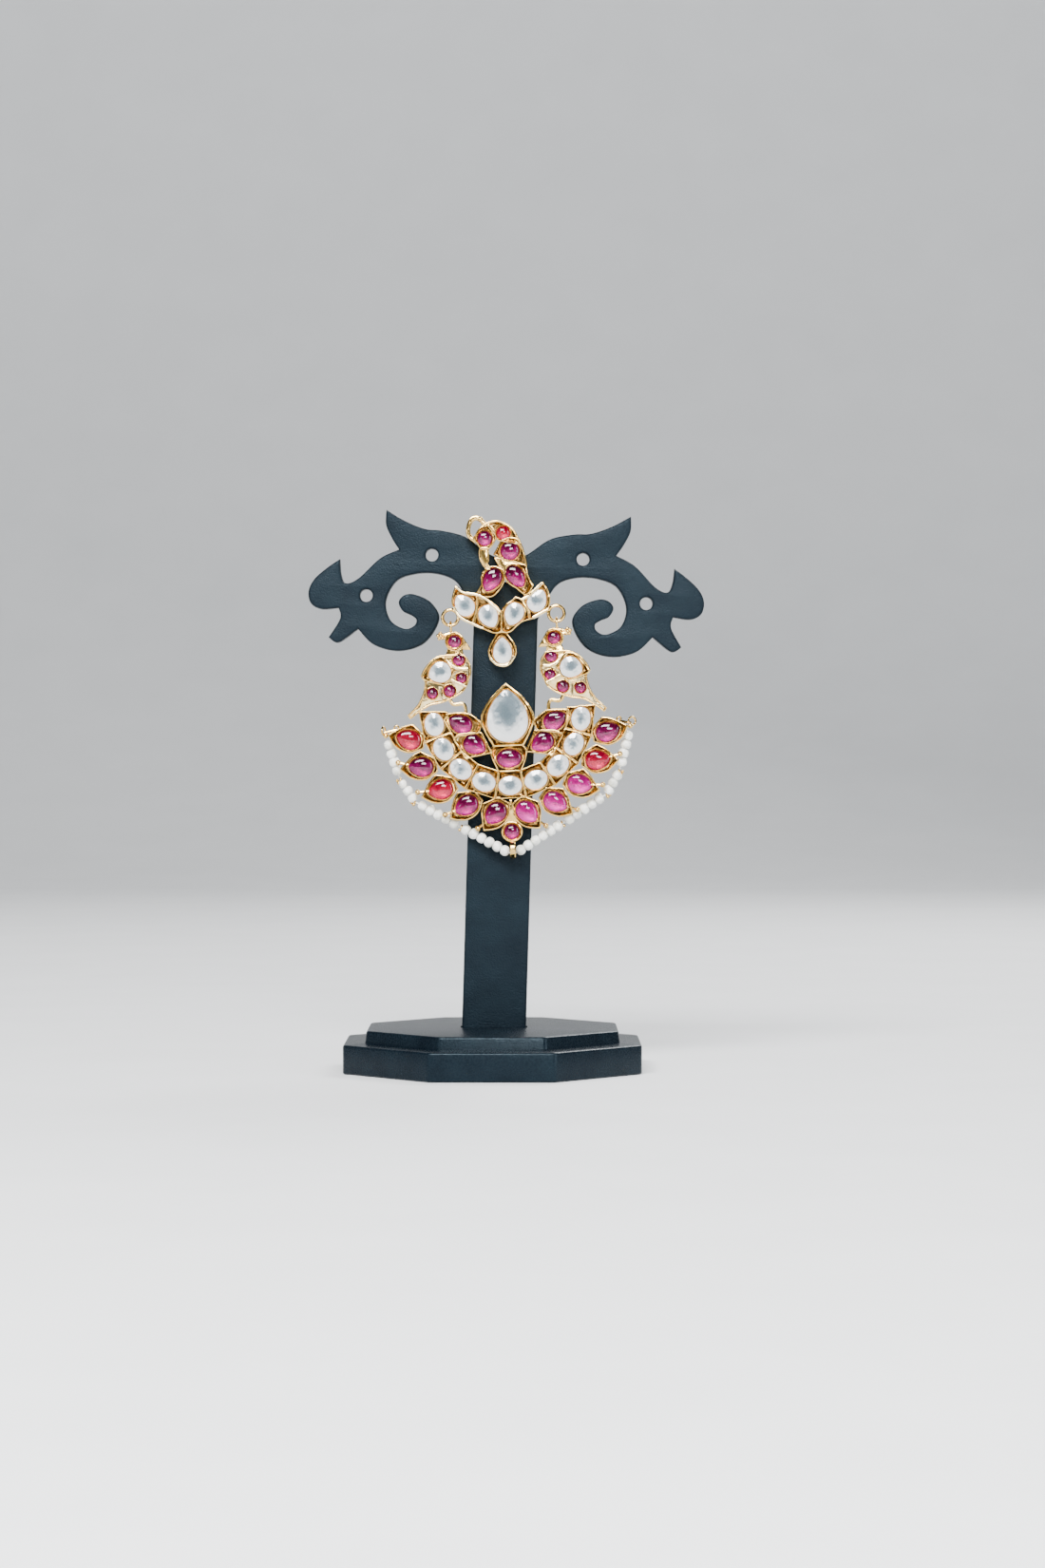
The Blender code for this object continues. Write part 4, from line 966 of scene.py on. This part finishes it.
def build_inner():
    work = Metalwork("inner_settings")
    for plate in INNER_PLATES:
        for side, word in SIDES:
            work.add_setting(plate, "stone_%s_%s" % (plate.name, word), BAND_INNER, side=side)
    edge = scaled(OVAL_EDGE, OVAL_LENGTH, OVAL_CENTRE, OVAL_HEIGHT)
    work.set_stone("stone_inner_oval", edge, OVAL_CENTRE,
                   Stone(0, 0, OVAL_LENGTH, OVAL_HEIGHT, 90, 0, "ruby"),
                   work.front(0.44), work.back(0.42))
    edge = scaled(PEAR_EDGE, PEAR_WIDTH, PEAR_CENTRE, PEAR_LENGTH)
    work.set_stone("stone_centre_pear", edge, PEAR_CENTRE,
                   Stone(0, 0, PEAR_LENGTH, PEAR_WIDTH, 0, 0.5, "pear"),
                   work.front(0.55), work.back(0.43), RIM * 1.3)
    work.finish()


def build_tip():
    work = Metalwork("tip_setting")
    half = TIP_STONE_WIDTH / 2 + TIP_WALL
    low = TIP_CENTRE[1] + half * 0.9
    stem = [(-half * 0.55, low), (half * 0.55, low),
            (STUD_WIDTH / 4, -BAND_OUTER), (-STUD_WIDTH / 4, -BAND_OUTER)]
    add_plate(work.bm, stem, work.front(0.40), work.back(0.08))
    work.set_stone("stone_tip", disc(half * 2, TIP_CENTRE), TIP_CENTRE,
                   Stone(0, 0, TIP_STONE_WIDTH, TIP_STONE_WIDTH, 0, 0, "ruby"),
                   work.front(0.43), work.back(0.1))
    add_band_loop(work.bm)
    work.finish()


def add_band_loop(bm):
    """The flat band bent into a loop that the bead string hangs through."""
    half = LOOP_BAND / 2
    soft = LOOP_WALL * 0.25
    section = [(0, -half + soft), (0, half - soft), (-soft, half), (-LOOP_WALL + soft, half),
               (-LOOP_WALL, half - soft), (-LOOP_WALL, -half + soft),
               (-LOOP_WALL + soft, -half), (-soft, -half)]
    rings = []
    for a in around(LOOP_STEPS):
        rings.append([tuple(LOOP_CENTRE + Vector((off, (LOOP_WIDTH / 2 + out) * math.cos(a),
                                                  (LOOP_WIDTH / 2 + out) * math.sin(a))))
                      for out, off in section])
    loft(bm, rings, closed=True)


def build_bird(side, word):
    work = Metalwork("bird_" + word)
    size = HINGE_RISE

    def placed(points):
        edge = scaled(points, size)
        return mirrored(edge) if side < 0 else edge

    front = work.front(0.34)
    body = placed(BIRD_BODY)
    add_plate(work.bm, body, work.front(0.13), work.back(0.30), FOIL)
    rim = curved(body)
    add_wall(work.bm, rim + rim[:1], RIM, front - RIM_STAND * 1.1, work.back(0.26))
    for strip in BIRD_STRIPS:
        add_wall(work.bm, open_curve(placed(strip), 5), BIRD_STRIP_WIDTH, front - RIM_STAND,
                 work.back(0.1), FOIL)
    add_plate(work.bm, placed(BIRD_NECK), work.front(0.30), work.back(0.26))
    add_plate(work.bm, placed(BIRD_BEAK), work.front(0.24), work.back(0.22))
    work.add_setting(BIRD_WING, "stone_wing_" + word, size, side=side)

    head = (side * BIRD_HEAD.across * size, BIRD_HEAD.up * size)
    stone = BIRD_HEAD._replace(length=BIRD_HEAD.length * size, width=BIRD_HEAD.width * size)
    work.set_stone("stone_bird_head_" + word, disc(BIRD_HEAD_WIDTH, head), head, stone,
                   work.front(0.44), work.back(0.28))

    for k, (across, up, width) in enumerate(BIRD_CHIPS):
        spot = (side * across * size, up * size)
        outline = disc(width * size * 0.95, spot, RAYS)
        add_cell(work.bm, disc(width * size * 1.12, spot), spot, outline, front - CHIP_STAND,
                 work.back(0.2), RIM * 0.6)
        chip = bmesh.new()
        add_gem(chip, outline, spot, front - CHIP_STAND * 1.5, "ruby")
        finish_mesh("bird_chip_%s_%d" % (word, k + 1), chip, GEMS["ruby"], "drop",
                    "drop_frame", angle=GEM_CREASE["ruby"])

    leg = placed(BIRD_LEG)
    add_wall(work.bm, open_curve(leg, 5), BIRD_LEG_WIDTH, work.front(0.18), work.back(0.14))
    add_link(work, side, head)
    work.finish()


def add_link(work, side, head):
    """The small ring through the side ring, and the cluster of balls by the bird's head."""
    u = side * RING_SPREAD
    drop = LINK_WIDTH / 2 - LINK_WIRE - RING_WIRE / 2 - LINK_PLAY / 2
    centre = (u, 0.0, HINGE_RISE - drop)
    add_hoop(work.bm, centre, LINK_WIDTH, LINK_WIRE, turn=math.pi / 2)
    foot = (u, 0.0, centre[2] - LINK_WIDTH / 2 + LINK_WIRE / 2)
    knot = (side * BIRD_KNOT[0] * HINGE_RISE, 0.0, BIRD_KNOT[1] * HINGE_RISE)
    add_wire(work.bm, [foot, knot], LINK_WIRE * 1.6)
    add_wire(work.bm, [knot, (head[0], 0.0, head[1])], LINK_WIRE * 1.6)
    spread_out = (BIRD_KNOT_WIDTH - KNOT_BALL) / 2
    add_ball(work.bm, knot, KNOT_BALL * 1.2)
    for a in around(5, 0.3):
        add_ball(work.bm, (knot[0] + spread_out * math.cos(a), -KNOT_RISE,
                           knot[2] + spread_out * math.sin(a)), KNOT_BALL)
    add_ball(work.bm, (knot[0], -KNOT_BALL * 0.75, knot[2]), KNOT_BALL)


def horn_lug(side):
    """Where the string is tied, just past the outermost leaf's tip."""
    u, w = polar(LEAF_TIP * HORN_REACH, side * HORN_ANGLE)
    return Vector((u, HORN_LUG_WIDTH * 0.45, w))


# The bead string
def string_stations():
    """Places along the string from left to right, and the beads between each and the next."""
    half = []
    for angle, share, depth, beads in STRING_STATIONS:
        u, w = polar(LEAF_TIP * share, angle)
        half.append((Vector((u, depth * DROP_DEPTH, w)), beads))
    start = horn_lug(1)
    gap = HORN_LUG_WIDTH / 2 + FIT_GAP
    half[0] = (start + (half[1][0] - start).normalized() * gap, half[0][1])
    centre = LOOP_CENTRE
    low = centre.z - (LOOP_WIDTH / 2 - LOOP_WALL) + THREAD_WIDTH / 2 + FIT_GAP
    half.append((Vector((LOOP_BAND / 2 + FIT_GAP, 0.0, low)), 0))
    left = [(Vector((-p.x, p.y, p.z)), beads) for p, beads in half]
    beads_right = [beads for _, beads in half[:-1]][::-1] + [0]
    return left + [(p, n) for (p, _), n in zip(half[::-1], beads_right)]


def add_bead(bm, centre, run, width, thick, seed):
    """A round flattened bead with a hole, slightly uneven."""
    hole = THREAD_WIDTH * 0.6
    turn = run.to_track_quat("X", "Y").to_matrix()
    tilt = Matrix.Rotation(0.45 * noise.noise(Vector((seed * 3.1, 0.5, 0.0))), 3, "Z")
    profile = [(hole, thick * 0.36), (hole, -thick * 0.36)]
    for k in range(13):
        t = math.pi * k / 12
        profile.append((hole * 1.2 + (width / 2 - hole * 1.2) * math.sin(t) ** 0.85,
                        -math.cos(t) * thick / 2))
    rings = []
    for a in around(24):
        swell = 1.0 + 0.14 * noise.noise(Vector((seed * 1.9, math.cos(a), math.sin(a))))
        rings.append([tuple(centre + turn @ (tilt @ Vector((x, r * swell * math.cos(a),
                                                            r * swell * math.sin(a)))))
                      for r, x in profile])
    loft(bm, rings, closed=True)


def build_beads():
    beads, thread, eyes = bmesh.new(), bmesh.new(), bmesh.new()
    stations = string_stations()
    half = len(stations) // 2
    seed = 0
    for number, ((start, count), (end, _)) in enumerate(zip(stations, stations[1:])):
        run = end - start
        pitch = min(run.length / max(count, 1), BEAD_PITCH)
        spare = run.length - pitch * count
        lead = {0: 0.1, len(stations) - 2: 0.9}.get(number, 0.5)
        for k in range(count):
            seed += 1
            wide = BEAD_WIDTH * (0.95 + 0.24 * noise.noise(Vector((seed * 0.7, 1.3, 2.1))))
            along = (spare * lead + pitch * (k + 0.5)) / run.length
            add_bead(beads, start.lerp(end, along), run, min(wide, BEAD_WIDTH), pitch * 0.98,
                     seed)
    add_wire(thread, [p for p, _ in stations], THREAD_WIDTH * 0.7)
    for place, _ in stations[1:half - 1] + stations[half + 1:-1]:
        add_eyelet(eyes, place)
    finish_mesh("beads", beads, [MILK], "drop", "bead_string", angle=60.0)
    finish_mesh("bead_thread", thread, [THREAD], "drop", "bead_string")
    finish_mesh("bead_eyelets", eyes, METAL, "drop", "bead_string")


def add_eyelet(bm, place):
    """A small ring that the thread passes through, with two grains of metal on it."""
    out = Vector((place.x, 0.0, place.z)).normalized()
    add_hoop(bm, place, EYELET_WIDTH, EYELET_WIRE, turn=math.pi / 2)
    for side in (-1, 1):
        along = Vector((-out.z, 0.0, out.x)) * side * EYELET_SPREAD
        add_ball(bm, place + out * EYELET_WIDTH * 0.45 + along, EYELET_WIRE * 1.6)


# The stand
def rounded_octagon(width, height):
    """The base's outline at one height with softened corners, a flat side to the front."""
    radius = width / 2 / math.cos(math.pi / BASE_SIDES)
    corners = [Vector((radius * math.cos(a), radius * math.sin(a)))
               for a in around(BASE_SIDES, 0.5)]
    points = []
    for k, here in enumerate(corners):
        after = corners[(k + 1) % BASE_SIDES]
        start = here + (corners[k - 1] - here).normalized() * BASE_CORNER
        end = here + (after - here).normalized() * BASE_CORNER
        for t in (0.0, 0.25, 0.5, 0.75, 1.0):
            p = start * (1 - t) ** 2 + here * 2 * t * (1 - t) + end * t * t
            points.append((p.x, p.y, height))
    return points


def build_base():
    top = BASE_HEIGHT + STEP_HEIGHT
    turn = [(math.sin(t), math.cos(t)) for t in [math.pi / 2 * k / 4 for k in range(5)]]
    soft = BASE_FILLET
    levels = [(BASE_WIDTH - 2 * soft * (1 - s), soft * (1 - c)) for s, c in turn]
    levels += [(BASE_WIDTH - 2 * soft * (1 - s), BASE_HEIGHT - soft * (1 - c))
               for s, c in reversed(turn)]
    levels += [(STEP_WIDTH + 2 * soft * (1 - s) * 0.6, BASE_HEIGHT + soft * (1 - c) * 0.6)
               for c, s in turn]
    levels += [(STEP_WIDTH - 2 * soft * (1 - s), top - soft * (1 - c))
               for s, c in reversed(turn)]
    bm = bmesh.new()
    loft(bm, [rounded_octagon(width, height) for width, height in levels])
    socket = bmesh.new()
    half = POST_WIDTH / 2 + FIT_GAP
    low = top - TENON_DEPTH - FIT_GAP
    side = UPRIGHT_THICKNESS / 2 + FIT_GAP
    edge = [(-half, low), (half, low), (half, 2 * top), (-half, 2 * top)]
    loft(socket, [at_depth(edge, -side), at_depth(edge, side)])
    base = finish_mesh("base_body", bm, [BASE_PLASTIC], "root", "stand_base",
                       Matrix.Identity(4))
    bmesh.ops.recalc_face_normals(socket, faces=socket.faces)
    tool = make_object("socket", socket, UPRIGHT)
    cut = base.modifiers.new("Socket", "BOOLEAN")
    cut.operation = "DIFFERENCE"
    cut.object = tool
    bpy.context.view_layer.update()
    seen = base.evaluated_get(bpy.context.evaluated_depsgraph_get())
    base.data = bpy.data.meshes.new_from_object(seen)
    base.modifiers.clear()
    base.data.set_sharp_from_angle(angle=math.radians(30))
    bpy.data.objects.remove(tool, do_unlink=True)


def upright_outline():
    """The right half, its curves cleared of points close to the sharp corners, and its mirror."""
    stretches = [scaled(stretch, ARM_REACH, (0.0, ARM_HEIGHT)) for stretch in ARM_EDGE]
    stretches[-1].append((POST_WIDTH / 2, ARM_HEIGHT + ARM_FOOT * ARM_REACH))
    right = scaled([ARM_MIDDLE], ARM_REACH, (0.0, ARM_HEIGHT))
    tips = []
    for stretch in stretches:
        right += open_curve(right[-1:] + stretch, ARM_STEPS)[1:]
        tips.append(right[-1])
    right.append((POST_WIDTH / 2, BASE_HEIGHT + STEP_HEIGHT - TENON_DEPTH))
    right = [p for p in right if not any(0 < math.dist(p, tip) < TIP_CLEAR for tip in tips)]
    return mirrored(right[1:]) + right


def build_upright():
    """The flat upright: its outline and holes filled, thickened and rounded at the edges."""
    curve = bpy.data.curves.new("upright_body", "CURVE")
    curve.dimensions = "2D"
    curve.fill_mode = "BOTH"
    curve.extrude = UPRIGHT_THICKNESS / 2 - UPRIGHT_FILLET
    curve.bevel_depth = UPRIGHT_FILLET
    curve.bevel_resolution = 3
    curve.offset = -UPRIGHT_FILLET
    outlines = [upright_outline()]
    for u, w in PEG_HOLES:
        for side in (-1, 1):
            spot = (side * u * ARM_REACH, ARM_HEIGHT + w * ARM_REACH)
            outlines.append(disc(PEG_HOLE, spot, HOLE_SIDES))
    outlines.append(disc(EAR_HOLE, (0.0, ARM_HEIGHT - EAR_HOLE_DROP), HOLE_SIDES))
    for points in outlines:
        spline = curve.splines.new("POLY")
        spline.points.add(len(points) - 1)
        for point, (u, w) in zip(spline.points, points):
            point.co = (u, w, 0.0, 1.0)
        spline.use_cyclic_u = True
    flat = bpy.data.objects.new("upright_flat", curve)
    bpy.context.scene.collection.objects.link(flat)
    bpy.context.view_layer.update()
    mesh = bpy.data.meshes.new_from_object(
        flat.evaluated_get(bpy.context.evaluated_depsgraph_get()))
    bpy.data.objects.remove(flat, do_unlink=True)
    bm = bmesh.new()
    bm.from_mesh(mesh)
    bmesh.ops.remove_doubles(bm, verts=bm.verts, dist=WELD)
    finish_mesh("upright_body", bm, [PLASTIC], "root", "stand_upright",
                UPRIGHT @ Matrix.Rotation(math.pi / 2, 4, "X"), angle=32.0)


# The studio
AIM = Vector((0.0, 0.0, 0.07))
FLOOR_NEAR = -2.5
FLOOR_FAR = 0.9
FLOOR_HALF = 3.0
BEND = 0.6
WALL_HEIGHT = 2.5
CAMERA_LENS = 85.0
CAMERA_PLACE = (0.00655, -0.816, 0.0754)
CAMERA_DIP = 0.88


def add_softbox(name, place, width, height, power, colour=(1.0, 1.0, 1.0)):
    """A rectangular light aimed at the earring."""
    lamp = bpy.data.lights.new(name, "AREA")
    lamp.shape = "RECTANGLE"
    lamp.size, lamp.size_y = width, height
    lamp.energy = power
    lamp.color = colour
    light = bpy.data.objects.new(name, lamp)
    light.location = place
    light.rotation_euler = (AIM - light.location).to_track_quat("-Z", "Y").to_euler()
    bpy.context.scene.collection.objects.link(light)


def build_studio():
    add_softbox("key", (-0.22, -0.85, 0.78), 0.70, 0.30, 36.0)
    add_softbox("front", (0.12, -0.95, 0.34), 0.26, 0.14, 5.0)
    add_softbox("fill", (0.75, -0.45, 0.25), 0.20, 0.5, 4.0, (0.90, 0.95, 1.0))
    add_softbox("low", (-0.55, -0.75, 0.16), 0.22, 0.12, 0.6)
    add_softbox("rim", (0.35, 0.55, 0.6), 0.6, 0.3, 8.0)
    world = bpy.data.worlds.new("studio")
    bpy.context.scene.world = world
    world.use_nodes = True
    sky = world.node_tree
    place = add_node(sky, "ShaderNodeTexCoord")
    parts = add_node(sky, "ShaderNodeSeparateXYZ")
    sky.links.new(place.outputs["Generated"], parts.inputs[0])
    sky.links.new(blend_colours(sky, parts.outputs["Z"], SKY_TONES),
                  sky.nodes["Background"].inputs["Color"])

    bm = bmesh.new()
    profile = [(FLOOR_NEAR, 0.0), (FLOOR_FAR, 0.0)]
    profile += [(FLOOR_FAR + BEND * math.sin(t), BEND - BEND * math.cos(t))
                for t in [math.pi / 2 * k / 12 for k in range(1, 13)]]
    profile.append((FLOOR_FAR + BEND, WALL_HEIGHT))
    rows = [[bm.verts.new((x, y, z)) for y, z in profile] for x in (-FLOOR_HALF, FLOOR_HALF)]
    for k in range(len(profile) - 1):
        bm.faces.new((rows[0][k], rows[1][k], rows[1][k + 1], rows[0][k + 1]))
    floor = make_object("floor", bm)
    floor.data.shade_smooth()
    floor.data.materials.append(floor_paint())


def build_camera():
    """The photograph's view: a long lens at the drop's height, dipped a little."""
    data = bpy.data.cameras.new("camera")
    data.sensor_fit = "VERTICAL"
    data.sensor_height = 36.0
    data.lens = CAMERA_LENS
    camera = bpy.data.objects.new("camera", data)
    camera.location = CAMERA_PLACE
    camera.rotation_euler = (math.radians(90.0 - CAMERA_DIP), 0.0, 0.0)
    bpy.context.scene.collection.objects.link(camera)
    bpy.context.scene.camera = camera


PLASTIC = plastic("black_plastic_grained", 0.9, (0.32, 0.58))
BASE_PLASTIC = plastic("black_plastic_base", 0.3, (0.20, 0.36))
METAL = [metal("gold_polished", (0.64, 0.39, 0.10), (0.84, 0.56, 0.18), (0.08, 0.18), 0.8),
         metal("gold_foil", (0.80, 0.56, 0.22), (0.96, 0.78, 0.42), (0.06, 0.18), 1.3),
         metal("gold_seam", (0.58, 0.20, 0.03), (0.78, 0.36, 0.08), (0.2, 0.35), 0.4),
         # Dark gold for the valleys round the stones: painted shade.
         metal("gold_patina", (0.055, 0.026, 0.006), (0.34, 0.19, 0.055), (0.14, 0.30), 1.1)]
RUBY_FOIL = metal("ruby_foil", (0.90, 0.55, 0.66), (0.98, 0.75, 0.84), (0.25, 0.40), 0.15)
POLKI_FOIL = metal("polki_foil", (0.86, 0.90, 0.93), (0.97, 0.98, 0.98), (0.28, 0.5), 0.5)
# Stone colour ramps, dark to light: on rubies the dark end is painted shade at the top of the
# stone and the light end is painted light low down; on polki the grey-blue end is a painted
# reflection in the middle and the white end is painted light on the rim facets.
RUBY_TONES = [(0.00, (0.020, 0.000, 0.005)), (0.30, (0.055, 0.000, 0.017)),
              (0.55, (0.18, 0.000, 0.070)), (0.78, (0.44, 0.002, 0.19)),
              (1.00, (0.80, 0.02, 0.43))]
RED_TONES = [(0.00, (0.060, 0.000, 0.005)), (0.30, (0.17, 0.000, 0.012)),
             (0.60, (0.40, 0.001, 0.032)), (0.80, (0.62, 0.004, 0.075)),
             (1.00, (0.80, 0.03, 0.18))]
PINK_TONES = [(0.00, (0.045, 0.000, 0.018)), (0.25, (0.15, 0.001, 0.065)),
              (0.50, (0.35, 0.002, 0.16)), (0.75, (0.62, 0.012, 0.33)),
              (1.00, (0.84, 0.07, 0.54))]
POLKI_TONES = [(0.00, (0.10, 0.14, 0.16)), (0.28, (0.19, 0.24, 0.27)),
               (0.45, (0.48, 0.53, 0.55)), (0.62, (0.86, 0.88, 0.88)),
               (1.00, (0.96, 0.96, 0.94))]


def ruby_like(name, stops, base, painted_light_by_height):
    return [stone_glass(name, stops, base, 0.12, painted_light_by_height, 0.8, 900.0, 0.60, 1.5), RUBY_FOIL]


# Each stone's glass and the foil behind it
GEMS = {"ruby": ruby_like("ruby_glass", RUBY_TONES, 0.42, -0.42),
        "red": ruby_like("red_glass", RED_TONES, 0.44, -0.38),
        "pink": ruby_like("pink_glass", PINK_TONES, 0.46, -0.42),
        "polki": [stone_glass("polki_glass", POLKI_TONES, -0.10, 0.90, -0.20, 0.5, 1000.0,
                              0.45, 2.1, 0.28), POLKI_FOIL],
        "pear": [stone_glass("pear_glass", POLKI_TONES, -0.26, 0.95, -0.36, 0.35, 700.0,
                             0.45, 2.1, 0.20), POLKI_FOIL]}
SKY_TONES = [(0.00, (0.42, 0.44, 0.46)), (0.07, (0.22, 0.23, 0.24)),
             (0.20, (0.07, 0.08, 0.09)), (0.45, (0.035, 0.045, 0.055)),
             (1.00, (0.035, 0.045, 0.055))]
MILK = bead_glaze("milk_glass")
THREAD = bead_glaze("thread_fibre")

build_base()
build_upright()
build_top()
build_band()
build_leaves()
build_inner()
build_tip()
for hand, name in SIDES:
    build_bird(hand, name)
build_beads()
build_studio()
build_camera()
